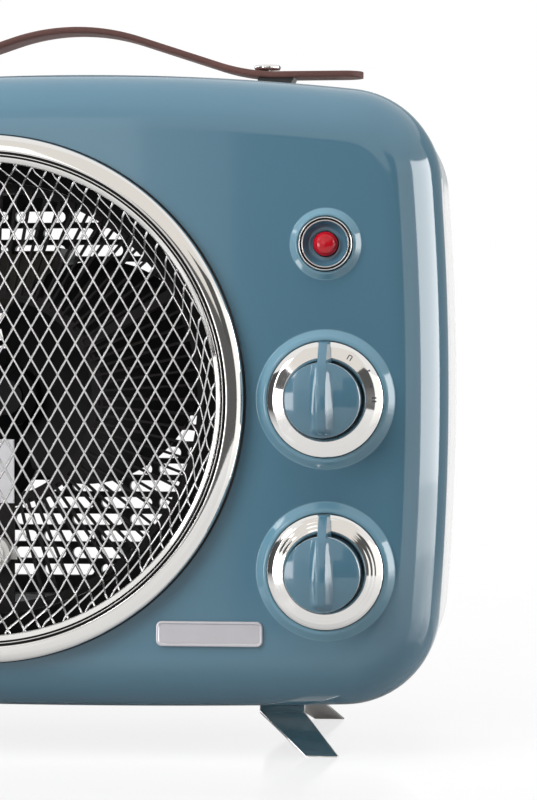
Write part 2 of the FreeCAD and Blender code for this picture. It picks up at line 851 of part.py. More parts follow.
def heating_wire(depth_from, depth_to):
    """A resistance wire in radial zigzags round the frame, open at the bottom where its ends come in."""
    span = 360.0 - wire_gap_angle
    step = span / (2 * wire_loops - 1)
    path = []
    for leg in range(2 * wire_loops):
        angle = math.radians(wire_gap_angle / 2 - 90 + leg * step)
        radii = [wire_inner_radius, wire_outer_radius]
        if leg % 2:
            radii.reverse()
        path += [Vector(radius * math.cos(angle), 0, radius * math.sin(angle)) for radius in radii]
    sides = [[], []]
    for place, point in enumerate(path):
        before = (point - path[place - 1]).normalize() if place else None
        after = (path[place + 1] - point).normalize() if place + 1 < len(path) else None
        before = before or after
        after = after or before
        mean = (before + after).normalize()
        mitre = Vector(-mean.z, 0, mean.x) * (wire_size / 2 / mean.dot(after))
        sides[0].append(point + mitre)
        sides[1].append(point - mitre)
    middle = at(grille_offset, depth_from, grille_z)
    corners = [middle + point for point in sides[0] + sides[1][::-1]]
    return Part.Face(Part.makePolygon(corners + corners[:1])).extrude(Vector(0, depth_to - depth_from, 0))


def cutout_board():
    """The pale terminal board below the fan's hub, fixed to the frame's inner ring."""
    return block(grille_offset - board_width / 2, grille_offset + board_width / 2,
                 element_depth - mica_sheet, element_depth,
                 grille_z - mica_inner_radius - mica_inner_band / 2, grille_z - board_top)


def thermal_cutout():
    """The button-shaped cut-out on the frame's lower strip, with two terminal tabs."""
    seat = element_depth
    z = grille_z - cutout_drop
    button = rod(grille_offset, z, cutout_radius, seat - cutout_height, seat)
    cap = rod(grille_offset, z, cutout_cap_radius, seat - cutout_height - tab_sheet, seat - cutout_height)
    tabs = [block(grille_offset + side * cutout_radius - tab_length / 4,
                  grille_offset + side * cutout_radius + tab_length / 4,
                  seat - tab_sheet, seat, z - tab_width / 2, z + tab_width / 2) for side in (-1, 1)]
    return button.fuse([cap] + tabs)


def fan_blades():
    """The paddle fan: a turned hub with cambered paddles set at a pitch."""
    reach = paddle_radius + blade_sheet
    rise = reach * math.tan(math.radians(blade_pitch))
    half = blade_sheet / 2

    def place(point):
        return at(grille_offset + blade_sheet, fan_depth + point[1], grille_z + point[0])
    section = drawn(place, (-reach, -rise - half), ((0, blade_camber - half), (reach, rise - half)),
                    (reach, rise + half), ((0, blade_camber + half), (-reach, -rise + half)))
    sheet = Part.Face(section).extrude(Vector(paddle_centre + reach, 0, 0))
    outline_bar = rod(grille_offset + paddle_centre, grille_z, paddle_radius, 0, rear_face)
    paddle = sheet.common(outline_bar)
    paddles = [spun(paddle, grille_offset, grille_z, 360.0 * k / blade_count - blade_rest_angle)
               for k in range(blade_count)]
    rear = fan_depth + fan_hub_length / 2
    hub = turned(grille_offset, grille_z, (0, rear), (fan_hub_radius, rear),
                 (fan_hub_radius, shaft_front + fan_nose_length),
                 (fan_nose_radius, shaft_front), (fan_nose_radius, shaft_front - fan_nose_length),
                 (0, shaft_front - fan_nose_length))
    bore = rod(grille_offset, grille_z, shaft_radius + running_clearance, shaft_front, rear)
    return hub.fuse(paddles).cut(bore)


def motor_shaft():
    """The steel shaft through the rotor to the fan."""
    return rod(grille_offset, grille_z, shaft_radius, shaft_front, shaft_rear)


def motor_rotor():
    """The rotor, seated on the shaft."""
    inset = air_gap * 2
    body = rod(grille_offset, grille_z, rotor_radius, stack_front + inset, stack_rear - inset)
    return body.cut(rod(grille_offset, grille_z, shaft_radius + running_clearance, stack_front, stack_rear))


def bolt_spots():
    """Where the motor's two long bolts pass: X and Z."""
    reach = bridge_half_length - bridge_leg / 2
    return [(grille_offset + side * reach, grille_z) for side in (-1, 1)]


def motor_stack():
    """The laminated core, with the rotor's bore and the coil's window."""
    body = block(grille_offset - stack_half_width, grille_offset + stack_half_width, stack_front, stack_rear,
                 grille_z - stack_below, grille_z + stack_top)
    window = block(grille_offset - stack_half_width / 2 - bobbin_flange,
                   grille_offset + stack_half_width / 2 + bobbin_flange, stack_front, stack_rear,
                   grille_z + stack_window_low, grille_z + stack_window_high)
    cuts = [window, rod(grille_offset, grille_z, rotor_radius + air_gap, stack_front, stack_rear)]
    cuts += [rod(x, z, bolt_radius + screw_clearance, stack_front, stack_rear) for x, z in bolt_spots()]
    return body.cut(cuts)


def leg_sleeve(grow, half_length):
    """A bar round the core's upper leg, larger all round by grow."""
    return block(grille_offset - half_length, grille_offset + half_length,
                 stack_front - grow, stack_rear + grow,
                 grille_z + stack_window_high - grow, grille_z + stack_top + grow)


def motor_bobbin():
    """The coil's bobbin: a square tube with two flanges on the core's upper leg."""
    tube = leg_sleeve(loose_clearance + bobbin_wall, bobbin_half_length)
    plate = leg_sleeve(loose_clearance + bobbin_wall + bobbin_cheek, bobbin_half_length)
    between = leg_sleeve(loose_clearance + bobbin_wall + bobbin_cheek, bobbin_half_length - bobbin_flange)
    return plate.cut(between).fuse(tube).cut(leg_sleeve(loose_clearance, bobbin_half_length))


def motor_coil():
    """The taped winding on the bobbin."""
    length = bobbin_half_length - bobbin_flange
    taped = leg_sleeve(loose_clearance + bobbin_wall + coil_thickness, length)
    upright = [edge for edge in taped.Edges if edge.BoundBox.XLength > length]
    taped = taped.makeFillet(coil_thickness / 2, upright)
    return taped.cut(leg_sleeve(loose_clearance + bobbin_wall, length))


def bearing_bridge(stack_face, direction):
    """A bridge over one face of the core, which holds a bearing bush on the shaft's line."""
    inner = stack_face + direction * bridge_stand
    outer = inner + direction * bridge_sheet
    near, far = sorted((inner, outer))
    bar = block(grille_offset - bridge_half_length, grille_offset + bridge_half_length, near, far,
                grille_z - bridge_half_height, grille_z + bridge_half_height)
    near, far = sorted((stack_face, inner))
    legs = []
    for side in (-1, 1):
        ends = sorted((side * bridge_half_length, side * (bridge_half_length - bridge_leg)))
        legs.append(block(grille_offset + ends[0], grille_offset + ends[1], near, far,
                          grille_z - bridge_half_height, grille_z + bridge_half_height))
    cup_ends = bush_ends(stack_face, direction)
    cup = rod(grille_offset, grille_z, bush_cup_radius, *cup_ends)
    cuts = [rod(grille_offset, grille_z, bush_outer_radius + running_clearance, *cup_ends)]
    near, far = sorted((stack_face, outer))
    cuts += [rod(x, z, bolt_radius + screw_clearance, near, far) for x, z in bolt_spots()]
    return bar.fuse(legs + [cup]).cut(cuts)


def bush_ends(stack_face, direction):
    """Where a bearing bush starts and ends along the depth."""
    outer = stack_face + direction * (bridge_stand + bridge_sheet)
    return sorted((outer, outer - direction * bush_length))


def motor_bushes():
    """The two sintered bushes that the shaft runs in."""
    bushes = []
    for face, direction in ((stack_front, -1), (stack_rear, 1)):
        ends = bush_ends(face, direction)
        outer = rod(grille_offset, grille_z, bush_outer_radius, *ends)
        bushes.append(outer.cut(rod(grille_offset, grille_z, shaft_radius + running_clearance, *ends)))
    return group(bushes)


def motor_bolts():
    """The two long bolts that clamp the bridges to the core, with heads at the rear."""
    bolts = []
    for x, z in bolt_spots():
        shank = rod(x, z, bolt_radius, front_bridge_face, rear_bridge_face)
        head = rod(x, z, bolt_head_radius, rear_bridge_face, rear_bridge_face + bolt_head_height)
        bolts.append(shank.fuse(head))
    return group(bolts)


def motor_arm(side):
    """A bent strip from the duct's rear flange to one side of the motor's core."""
    inner = grille_offset + side * stack_half_width
    bend = inner + side * arm_sheet
    tip = grille_offset + side * (duct_radius + duct_rear_flange)
    z_from = grille_z - arm_half_height
    z_to = grille_z + arm_half_height
    near, far = sorted((inner, tip))
    run = block(near, far, duct_rear, duct_rear + arm_sheet, z_from, z_to)
    near, far = sorted((inner, bend))
    leg = block(near, far, stack_front + arm_sheet, duct_rear, z_from, z_to)
    holes = [rod(x, z, screw_radius + screw_clearance, duct_rear, duct_rear + arm_sheet)
             for x, z in arm_spots()]
    return run.fuse(leg).cut(holes)


def dial_ring(z):
    """A chromed dial ring with a broad face, bevelled at both edges, lying inside a raised rim."""
    return turned(control_offset, z, (dial_outer_radius, 0), (dial_outer_radius, -dial_edge_height),
                  (dial_outer_radius - dial_bevel, -dial_crown_height),
                  (dial_inner_radius + dial_bevel, -dial_crown_height),
                  (dial_inner_radius, -dial_inner_height), (dial_inner_radius, 0))


def spindle_bore(z, clearance, depth_from, depth_to):
    """A round bar with a flat on one side, as on a control spindle."""
    bar = rod(control_offset, z, spindle_radius + clearance, depth_from, depth_to)
    flat = control_offset + spindle_flat + clearance
    side = block(flat, flat + spindle_radius, depth_from, depth_to,
                 z - 2 * spindle_radius, z + 2 * spindle_radius)
    return bar.cut(side)


def fin_section(z, half_foot, foot_height, half_ridge, ridge_height):
    """The fin's section at a height: wide at its foot and narrow at its ridge."""
    corners = [at(control_offset - half_foot, -foot_height, z),
               at(control_offset + half_foot, -foot_height, z),
               at(control_offset + half_ridge, -ridge_height, z),
               at(control_offset - half_ridge, -ridge_height, z)]
    return Part.makePolygon(corners + corners[:1])


def control_knob(z):
    """A round knob with a crowned face and a fin that slopes down to a pointer over the dial."""
    edge = -knob_lift - knob_height
    hollow = knob_radius - knob_wall
    cap = turned(control_offset, z, (hollow, -knob_lift), (knob_radius, -knob_lift),
                 (knob_radius, edge + knob_bevel), (knob_radius - knob_bevel, edge),
                 crown(knob_radius - knob_bevel, edge, edge - knob_crown),
                 (0, -hub_start), (knob_hub_radius, -hub_start), (knob_hub_radius, -knob_ceiling),
                 (hollow, -knob_ceiling))
    half_ridge = fin_ridge_width / 2
    heel_foot = knob_ceiling + knob_roof / 2
    fin = Part.makeLoft([
        fin_section(z - knob_radius + knob_bevel, fin_base_width / 2, heel_foot, half_ridge, knob_reach),
        fin_section(z + knob_radius, fin_neck_width / 2, pointer_height, half_ridge, fin_neck_height),
        fin_section(z + dial_outer_radius, fin_tip_width / 2, pointer_height, half_ridge, fin_tip_height),
    ], True, True)
    fin = fin.cut(rod(control_offset, z, hollow, -knob_ceiling, 0))
    bore = spindle_bore(z, running_clearance, -spindle_tip, -hub_start)
    return cap.fuse(fin).cut(bore)


def control_spindle(z, rear):
    """The steel spindle from the control's body to inside its knob, flatted at the knob."""
    plain = rod(control_offset, z, spindle_radius, -hub_start, rear)
    return plain.fuse(spindle_bore(z, 0, -spindle_tip, -hub_start))


def control_nut(z):
    """The nut that clamps a control's bush to the panel."""
    bar = hex_nut(control_offset, z, nut_flats, -nut_height, 0)
    return bar.cut(rod(control_offset, z, control_bush_radius + seat_clearance, -nut_height, 0))


def selector_switch():
    """The rotary switch behind the panel: a moulded body, a bush and four terminal tabs."""
    rear = shell_wall + switch_depth
    body = block(control_offset - switch_half, control_offset + switch_half, shell_wall, rear,
                 selector_z - switch_half, selector_z + switch_half)
    upright = [edge for edge in body.Edges if edge.BoundBox.YLength > switch_depth - 1]
    body = body.makeFillet(shell_wall, upright)
    bush = rod(control_offset, selector_z, control_bush_radius, -control_bush_reach, shell_wall)
    half_tab = tab_width / 2
    tabs = []
    for x in (control_offset - switch_half / 2, control_offset + switch_half / 2):
        for z in (selector_z - switch_half / 2, selector_z + switch_half / 2):
            tabs.append(block(x - half_tab, x + half_tab, rear, rear + tab_length, z, z + tab_sheet))
    bore = rod(control_offset, selector_z, spindle_radius + running_clearance, -control_bush_reach,
               rear - shell_wall)
    return body.fuse([bush] + tabs).cut(bore)


def thermostat_frame():
    """The room thermostat's mounting plate, with the bush for its spindle."""
    rear = shell_wall + thermostat_plate
    plate = rounded_plate(control_offset, thermostat_z, thermostat_plate_width / 2,
                          thermostat_plate_height / 2, thermostat_plate * 2, shell_wall, rear)
    plate = plate.common(slab(front_edge_radius + loose_clearance, shell_wall, rear))
    bush = rod(control_offset, thermostat_z, control_bush_radius, -control_bush_reach, rear)
    bore = rod(control_offset, thermostat_z, spindle_radius + running_clearance, -control_bush_reach, rear)
    return plate.fuse(bush).cut(bore)


def insulator_place():
    """The height of the thermostat's insulator stack and the depth where it starts."""
    z = thermostat_z - thermostat_plate_height / 2 + stack_insulator_radius + thermostat_plate
    return z, shell_wall + thermostat_plate


def blade_depths():
    """Where the thermostat's two spring blades lie along the insulator stack."""
    start = insulator_place()[1]
    return [start + contact_blade_lift, start + bimetal_blade_lift]


def spring_blade(depth):
    """One spring blade, clamped in the insulator stack."""
    z = insulator_place()[0]
    top = thermostat_z + thermostat_plate_height / 2 - thermostat_plate
    return block(control_offset - spring_blade_width / 2, control_offset + spring_blade_width / 2, depth,
                 depth + spring_blade_sheet, z - stack_insulator_radius / 2, top)


def thermostat_stack():
    """The thermostat's ceramic insulator stack, slotted where the spring blades pass."""
    z, start = insulator_place()
    stack = rod(control_offset, z, stack_insulator_radius, start, start + stack_insulator_length)
    return stack.cut([spring_blade(depth) for depth in blade_depths()])


def thermostat_blades():
    """The bimetal blade and the contact blade."""
    return group([spring_blade(depth) for depth in blade_depths()])


def pilot_bezel():
    """The chromed pilot-lamp bezel: a bevelled lip, a dish and a tube through the panel."""
    bore = lens_radius + loose_clearance
    edge = pilot_lip_bevel - pilot_bezel_height
    return turned(control_offset, pilot_z, (pilot_bezel_radius, 0), (pilot_bezel_radius, edge),
                  (pilot_bezel_radius - pilot_lip_bevel, -pilot_bezel_height),
                  (pilot_dish_radius + pilot_lip_bevel, -pilot_bezel_height), (pilot_dish_radius, edge),
                  (pilot_tube_radius, -pilot_dish_floor), (bore, -pilot_dish_floor),
                  (bore, pilot_tube_length), (pilot_tube_radius, pilot_tube_length), (pilot_tube_radius, 0))


def pilot_lens():
    """The red lens: a bevelled button in the bezel's tube."""
    rear = pilot_tube_length - loose_clearance
    flat_radius = lens_radius - lens_bevel
    flat_depth = lens_crown - lens_height
    return turned(control_offset, pilot_z, (0, rear), (lens_radius, rear),
                  (lens_radius, flat_depth + lens_bevel),
                  (flat_radius, flat_depth), crown(flat_radius, flat_depth, -lens_height))


def pilot_lamp():
    """The neon lamp's holder behind the lens, with two lead pins."""
    start = pilot_tube_length - loose_clearance
    rear = start + lamp_length
    holder = rod(control_offset, pilot_z, lens_radius, start, rear)
    pins = [rod(control_offset + side * lens_radius / 2, pilot_z, tab_sheet, rear, rear + tab_length)
            for side in (-1, 1)]
    return holder.fuse(pins)


def pilot_clip():
    """The spring clip that holds the bezel's tube behind the panel."""
    disc = rod(control_offset, pilot_z, clip_radius, shell_wall, shell_wall + clip_sheet)
    bore = rod(control_offset, pilot_z, pilot_tube_radius + seat_clearance,
               shell_wall, shell_wall + clip_sheet)
    return disc.cut(bore)


def badge_plate():
    """A bare plate with a raised rim on the front panel."""
    plate = rounded_plate(badge_offset, badge_z, badge_width / 2, badge_height / 2, badge_corner,
                          -badge_sheet, 0)
    field = rounded_plate(badge_offset, badge_z, badge_width / 2 - badge_rim, badge_height / 2 - badge_rim,
                          badge_corner - badge_rim / 2, -badge_sheet, badge_recess - badge_sheet)
    return plate.cut(field)


def strap_base():
    """The height of the strap's underside where it lies flat on its seats."""
    return top_at(stud_offset) + strap_seat_height


def strap_line(offset):
    """Points along half of the strap, from crown to tail, at an offset above its underside."""
    slope = math.radians(strap_slope)
    bends = strap_crown_radius + strap_foot_radius
    straight = (strap_rise - bends * (1 - math.cos(slope))) / math.sin(slope)
    base = strap_base()
    crown_centre = base + strap_rise - strap_crown_radius
    crown = strap_crown_radius + offset
    foot_x = bends * math.sin(slope) + straight * math.cos(slope)
    foot_centre = base + strap_foot_radius
    foot = strap_foot_radius - offset
    crown_points = [(crown * math.sin(turn), crown_centre + crown * math.cos(turn))
                    for turn in (0, slope / 2, slope)]
    foot_points = [(foot_x - foot * math.sin(turn), foot_centre - foot * math.cos(turn))
                   for turn in (slope, slope / 2, 0)]
    return crown_points, foot_points, (strap_end, base + offset)


def carry_strap():
    """The leather strap: an arch between two studs, with flat tails and rounded ends."""
    def mirrored(point):
        return (-point[0], point[1])
    moves = []
    crown, foot, tail = strap_line(strap_sheet)
    start = mirrored(tail)
    moves += [mirrored(foot[2]), (mirrored(foot[1]), mirrored(foot[0])), mirrored(crown[2]),
              (crown[0], crown[2]), foot[0], (foot[1], foot[2]), tail]
    crown, foot, tail = strap_line(0)
    moves += [tail, foot[2], (foot[1], foot[0]), crown[2], (crown[0], mirrored(crown[2])), mirrored(foot[0]),
              (mirrored(foot[1]), mirrored(foot[2])), mirrored(tail)]
    near = strap_depth - strap_width / 2
    far = strap_depth + strap_width / 2
    arch = front_prism(near, far, start, *moves)
    corners = [edge for edge in arch.Edges
               if edge.BoundBox.ZLength > strap_sheet / 2 and edge.BoundBox.XLength < 0.01
               and abs(abs(edge.BoundBox.XMin) - strap_end) < 0.1 and edge.BoundBox.YLength < 0.01]
    arch = arch.makeFillet(strap_end_radius, corners)
    holes = [pillar(side * stud_offset, strap_depth, stud_radius + stud_hole_clearance, body_z, 2 * body_top)
             for side in (-1, 1)]
    return arch.cut(holes)


def strap_seats():
    """The two black seats between the case's top and the strap, tapered under their outer ends."""
    case = rear_outside(seat_clearance)
    near = strap_depth - seat_width / 2
    far = strap_depth + seat_width / 2
    top = strap_base()
    low = top - 2 * strap_seat_height
    seats = []
    for side in (-1, 1):
        inner = side * (stud_offset - seat_inner)
        outer = side * (stud_offset + seat_outer)
        foot = side * (stud_offset + seat_outer - 2 * seat_taper)
        body = front_prism(near, far, (inner, top), (outer, top), (foot, low), (inner, low))
        hole = pillar(side * stud_offset, strap_depth, stud_radius + screw_clearance, low, top)
        seats.append(body.cut([case, hole]).Solids[0])
    return group(seats)


def strap_nut_top():
    """The height of the nut's upper face, just under the case's top wall."""
    return top_at(stud_offset + stud_nut_flats) - shell_wall - loose_clearance


def strap_studs():
    """The two turned studs that hold the strap: a button head, a slim neck and a stem."""
    base = strap_nut_top() - stud_nut_height
    shoulder = strap_base() + strap_sheet
    under = shoulder + stud_neck_length
    top = under + stud_head_height
    studs = []
    for side in (-1, 1):
        studs.append(turned_upright(side * stud_offset, strap_depth, (0, base), (stud_radius, base),
                                    (stud_radius, shoulder), (stud_neck_radius, shoulder),
                                    (stud_neck_radius, under), (stud_head_radius - stud_head_edge, under),
                                    (stud_head_radius, under + stud_head_edge),
                                    (stud_head_radius, top - stud_head_edge),
                                    (stud_head_radius - stud_head_edge, top), (0, top)))
    return group(studs)


def strap_nuts():
    """The two nuts under the case's top."""
    top = strap_nut_top()
    radius = stud_nut_flats / math.sqrt(3)
    nuts = []
    for side in (-1, 1):
        middle = at(side * stud_offset, strap_depth, top - stud_nut_height)
        turns = [math.radians(60 * k) for k in range(6)]
        corners = [middle + Vector(radius * math.cos(turn), radius * math.sin(turn), 0) for turn in turns]
        bar = Part.Face(Part.makePolygon(corners + corners[:1])).extrude(Vector(0, 0, stud_nut_height))
        hole = pillar(side * stud_offset, strap_depth, stud_radius + seat_clearance,
                      top - stud_nut_height, top)
        nuts.append(bar.cut(hole))
    return group(nuts)


def foot_sets():
    """Each pair of feet: the depth of its bend, the depth of its toe and how far in it stands."""
    return {"front": (front_foot_bend, front_foot_toe, 0.0),
            "rear": (rear_foot_bend, rear_foot_toe, rear_foot_inset)}


def foot_screw_spots():
    """Where the foot screws stand: X and depth."""
    spots = []
    for bend, toe, inset in foot_sets().values():
        x = (foot_top_inner + foot_top_outer) / 2 - inset
        depth = bend + math.copysign(foot_flange / 2, bend - toe)
        spots += [(-x, depth), (x, depth)]
    return spots


def foot_top(inset):
    """The height of a foot's flange against the case's underside."""
    return base_at(foot_top_inner - inset)


def foot(side, end):
    """A chromed foot: a flange under the case and a leg bent down, out and away from the middle."""
    bend, toe, inset = foot_sets()[end]
    top = foot_top(inset)
    inward = math.copysign(1, bend - toe)
    slant = math.hypot(bend - toe, top)
    thickness_at_floor = foot_sheet * slant / top
    under = top - foot_sheet
    inner_bend = bend + (toe - bend) * foot_sheet / top + inward * thickness_at_floor
    heel = bend + inward * foot_flange
    x_from = foot_top_inner - inset
    x_to = foot_toe_outer - inset
    bent = side_prism(min(side * x_from, side * x_to), max(side * x_from, side * x_to),
                      (heel, top), (bend, top), (toe, 0), (toe + inward * thickness_at_floor, 0),
                      (inner_bend, under), (heel, under))
    near = min(bend, toe, heel) - foot_sheet
    far = max(bend, toe, heel) + foot_sheet
    top_outer = foot_top_outer - inset
    toe_inner = foot_toe_inner - inset
    trim = front_prism(near, far, (side * x_from, top), (side * top_outer, top), (side * top_outer, under),
                       (side * x_to, 0), (side * toe_inner, 0), (side * x_from, under))
    holes = [pillar(x, depth, screw_radius + screw_clearance, under, top) for x, depth in foot_screw_spots()]
    return bent.common(trim).cut(holes)


def foot_screws():
    """The four screws up through the feet's flanges."""
    screws = []
    for x, depth in foot_screw_spots():
        inset = rear_foot_inset if depth > strap_depth else 0.0
        seat = foot_top(inset) - foot_sheet
        high = base_at(abs(x)) + foot_boss_height - shell_wall
        shank = pillar(x, depth, screw_radius, seat, high)
        screws.append(shank.fuse(pillar(x, depth, screw_head_radius, seat - screw_head_height, seat)))
    return group(screws)


def cord_gland():
    """The mains inlet bush in the rear wall."""
    inner = rear_face - shell_wall - gland_length
    return turned(gland_offset, gland_height, (gland_bore_radius, inner), (gland_radius, inner),
                  (gland_radius, rear_face), (gland_flange_radius, rear_face),
                  (gland_flange_radius, rear_face + gland_flange / 2),
                  (gland_radius, rear_face + gland_flange), (gland_bore_radius, rear_face + gland_flange))


def terminal_block():
    """The mains terminal block on its pad, with a row of wire ways and clamp screws."""
    x_from = terminal_offset - terminal_width / 2
    near = terminal_depth - terminal_length / 2
    far = terminal_depth + terminal_length / 2
    top = terminal_pad_height + terminal_height
    body = block(x_from, x_from + terminal_width, near, far, terminal_pad_height, top)
    pitch = terminal_width / terminal_ways
    cuts = []
    for way in range(terminal_ways):
        x = x_from + (way + 0.5) * pitch
        cuts.append(rod(x, terminal_pad_height + terminal_height / 3, terminal_screw_radius, near, far))
        for depth in (near + terminal_length / 4, far - terminal_length / 4):
            cuts.append(pillar(x, depth, terminal_screw_radius, top - terminal_height / 3, top))
    return body.cut(cuts)


def nodes():
    """Every named piece of the heater."""
    selector_end = shell_wall + switch_depth - shell_wall - loose_clearance
    thermostat_end = blade_depths()[0] - loose_clearance
    front_wire = (element_depth - wire_size, element_depth)
    rear_wire = (element_depth + mica_sheet, element_depth + mica_sheet + wire_size)
    pieces = {
        "front_shell": front_shell(),
        "rear_shell": rear_shell(),
        "intake_grille": intake_grille(),
        "grille_ring": grille_ring(),
        "mesh_grille": mesh_grille(),
        "air_duct": air_duct(),
        "duct_screws": duct_screws(),
        "element_frame": element_frame(),
        "heating_wire_front": heating_wire(*front_wire),
        "heating_wire_rear": heating_wire(*rear_wire),
        "cutout_board": cutout_board(),
        "thermal_cutout": thermal_cutout(),
        "fan_blades": fan_blades(),
        "motor_shaft": motor_shaft(),
        "motor_rotor": motor_rotor(),
        "motor_stack": motor_stack(),
        "motor_bobbin": motor_bobbin(),
        "motor_coil": motor_coil(),
        "front_bridge": bearing_bridge(stack_front, -1),
        "rear_bridge": bearing_bridge(stack_rear, 1),
        "motor_bushes": motor_bushes(),
        "motor_bolts": motor_bolts(),
        "motor_arm_left": motor_arm(-1),
        "motor_arm_right": motor_arm(1),
        "arm_screws": arm_screws(),
        "selector_knob": control_knob(selector_z),
        "selector_spindle": control_spindle(selector_z, selector_end),
        "selector_dial": dial_ring(selector_z),
        "selector_switch": selector_switch(),
        "selector_nut": control_nut(selector_z),
        "thermostat_knob": control_knob(thermostat_z),
        "thermostat_spindle": control_spindle(thermostat_z, thermostat_end),
        "thermostat_dial": dial_ring(thermostat_z),
        "thermostat_frame": thermostat_frame(),
        "thermostat_stack": thermostat_stack(),
        "thermostat_blades": thermostat_blades(),
        "thermostat_nut": control_nut(thermostat_z),
        "pilot_bezel": pilot_bezel(),
        "pilot_lens": pilot_lens(),
        "pilot_lamp": pilot_lamp(),
        "pilot_clip": pilot_clip(),
        "badge_plate": badge_plate(),
        "carry_strap": carry_strap(),
        "strap_seats": strap_seats(),
        "strap_studs": strap_studs(),
        "strap_nuts": strap_nuts(),
        "foot_screws": foot_screws(),
        "case_screws": case_screws(),
        "cord_gland": cord_gland(),
        "terminal_block": terminal_block(),
    }
    for end in foot_sets():
        pieces["foot_" + end + "_left"] = foot(-1, end)
        pieces["foot_" + end + "_right"] = foot(1, end)
    return pieces


os.makedirs("parts", exist_ok=True)
for name, shape in nodes().items():
    shape.exportStep("parts/" + name + ".step")
    box = shape.BoundBox
    print(name, "solids", len(shape.Solids), "valid", shape.isValid(), "volume", round(shape.Volume),
          "box", [round(value, 1) for value in (box.XMin, box.XMax, box.YMin, box.YMax, box.ZMin, box.ZMax)])
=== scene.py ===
import math
import bmesh
import bpy
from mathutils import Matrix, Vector


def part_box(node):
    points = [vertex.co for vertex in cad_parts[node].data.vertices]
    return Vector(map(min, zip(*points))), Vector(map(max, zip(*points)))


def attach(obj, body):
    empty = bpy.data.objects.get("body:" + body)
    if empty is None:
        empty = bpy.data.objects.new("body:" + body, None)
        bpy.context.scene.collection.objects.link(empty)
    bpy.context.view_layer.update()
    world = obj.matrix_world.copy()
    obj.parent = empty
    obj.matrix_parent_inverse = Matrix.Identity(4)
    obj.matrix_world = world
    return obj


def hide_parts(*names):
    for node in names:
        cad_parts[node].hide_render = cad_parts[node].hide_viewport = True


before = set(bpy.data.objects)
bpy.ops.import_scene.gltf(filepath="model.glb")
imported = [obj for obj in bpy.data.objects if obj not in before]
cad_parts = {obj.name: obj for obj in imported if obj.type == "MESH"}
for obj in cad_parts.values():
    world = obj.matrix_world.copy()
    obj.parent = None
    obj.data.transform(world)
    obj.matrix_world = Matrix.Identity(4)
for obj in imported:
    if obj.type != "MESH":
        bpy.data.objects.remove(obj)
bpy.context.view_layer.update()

# Rear shell: the white half of the case, injection-moulded in gloss plastic.
# Four long screws, sunk in its rear corners, pull it onto the front half, and the intake
# grille shows through a window in its rear wall.
mm = 0.001
panel_y = -55.5
body_z = 130.5
grille_x = -25.5
grille_z = 127.8
rear_face = 132.0
front_depth = 30.0
parting_gap = 0.4
shell_wall = 2.5
flat_run = 0.6
case_screw_x = 116.05
case_screw_z = 90.6
case_screw_spots = [(x, body_z + z) for x in (-case_screw_x, case_screw_x)
                    for z in (-case_screw_z, case_screw_z)]
screw_hole, screw_bore, screw_seat = 1.7, 3.2, 40.0
post_radius, post_front, post_end, post_tip = 6.0, 36.0, 117.0, 119.5


def place(x, depth, z):
    """A point in metres, at a depth behind the front panel's face."""
    return Vector((x, panel_y + depth, z)) * mm


def crossing(first, first_radius, second, second_radius):
    """Where two circles cross, on the right-hand side."""
    apart = second - first
    along = (first_radius ** 2 - second_radius ** 2 + apart.length_squared) / (2 * apart.length)
    across = math.sqrt(first_radius ** 2 - along ** 2)
    direction = apart.normalized()
    normal = Vector((-direction.y, direction.x))
    base = first + direction * along
    return max(base + normal * across, base - normal * across, key=lambda point: point.x)


def bearing(origin, target):
    """The angle of the line from one point to another."""
    return math.atan2(target.y - origin.y, target.x - origin.x)


def case_outline(inset):
    """Points (x, z) round the case's outline, drawn in by inset: bowed sides and tangent corners."""
    half_width, half_height, corner = 139.05, 113.6, 34.6
    side_bow, top_bow, base_bow = 990.0, 935.0, 3475.0
    side = Vector((half_width - side_bow, 0))
    top = Vector((0, half_height - top_bow))
    base = Vector((0, base_bow - half_height))
    upper = crossing(side, side_bow - corner, top, top_bow - corner)
    lower = crossing(side, side_bow - corner, base, base_bow - corner)
    arcs = [(base, base_bow, -math.pi / 2, bearing(base, lower), 14),
            (lower, corner, bearing(base, lower), bearing(side, lower), 18),
            (side, side_bow, bearing(side, lower), bearing(side, upper), 20),
            (upper, corner, bearing(side, upper), bearing(top, upper), 18),
            (top, top_bow, bearing(top, upper), math.pi / 2, 14)]
    right = []
    for centre, radius, start, end, steps in arcs:
        for step in range(steps):
            angle = start + (end - start) * step / steps
            right.append(centre + Vector((math.cos(angle), math.sin(angle))) * (radius - inset))
    right.append(Vector((0, half_height - inset)))
    left = [Vector((-point.x, point.y)) for point in reversed(right[1:-1])]
    return [(point.x, point.y + body_z) for point in right + left]


def circle(x, z, radius, steps):
    """Points (x, z) round a circle."""
    turns = [2 * math.pi * step / steps for step in range(steps)]
    return [(x + radius * math.cos(turn), z + radius * math.sin(turn)) for turn in turns]


def rounded_plate(x, z, half_width, half_height, corner, steps=8):
    """Points (x, z) round a rectangle with rounded corners."""
    points = []
    for quarter, (side_x, side_z) in enumerate(((1, 1), (-1, 1), (-1, -1), (1, -1))):
        for step in range(steps + 1):
            angle = (quarter + step / steps) * math.pi / 2
            points.append((x + side_x * (half_width - corner) + corner * math.cos(angle),
                           z + side_z * (half_height - corner) + corner * math.sin(angle)))
    return points


def add_loop(bm, outline, depth):
    """The vertices of a closed loop at a depth."""
    return [bm.verts.new(place(x, depth, z)) for x, z in outline]


def skin(bm, loops, capped=False):
    """Quads between each loop and the next, and faces over the two ends where they are capped."""
    for first, second in zip(loops, loops[1:]):
        for index in range(len(first)):
            after = (index + 1) % len(first)
            bm.faces.new((first[index], first[after], second[after], second[index]))
    if capped:
        bm.faces.new(loops[0])
        bm.faces.new(loops[-1])


def fill_between(bm, loops):
    """A flat face with holes between loops that lie in one plane."""
    edges = []
    for loop in loops:
        for index, vertex in enumerate(loop):
            after = loop[(index + 1) % len(loop)]
            edges.append(bm.edges.get((vertex, after)) or bm.edges.new((vertex, after)))
    bmesh.ops.triangle_fill(bm, use_beauty=True, edges=edges)


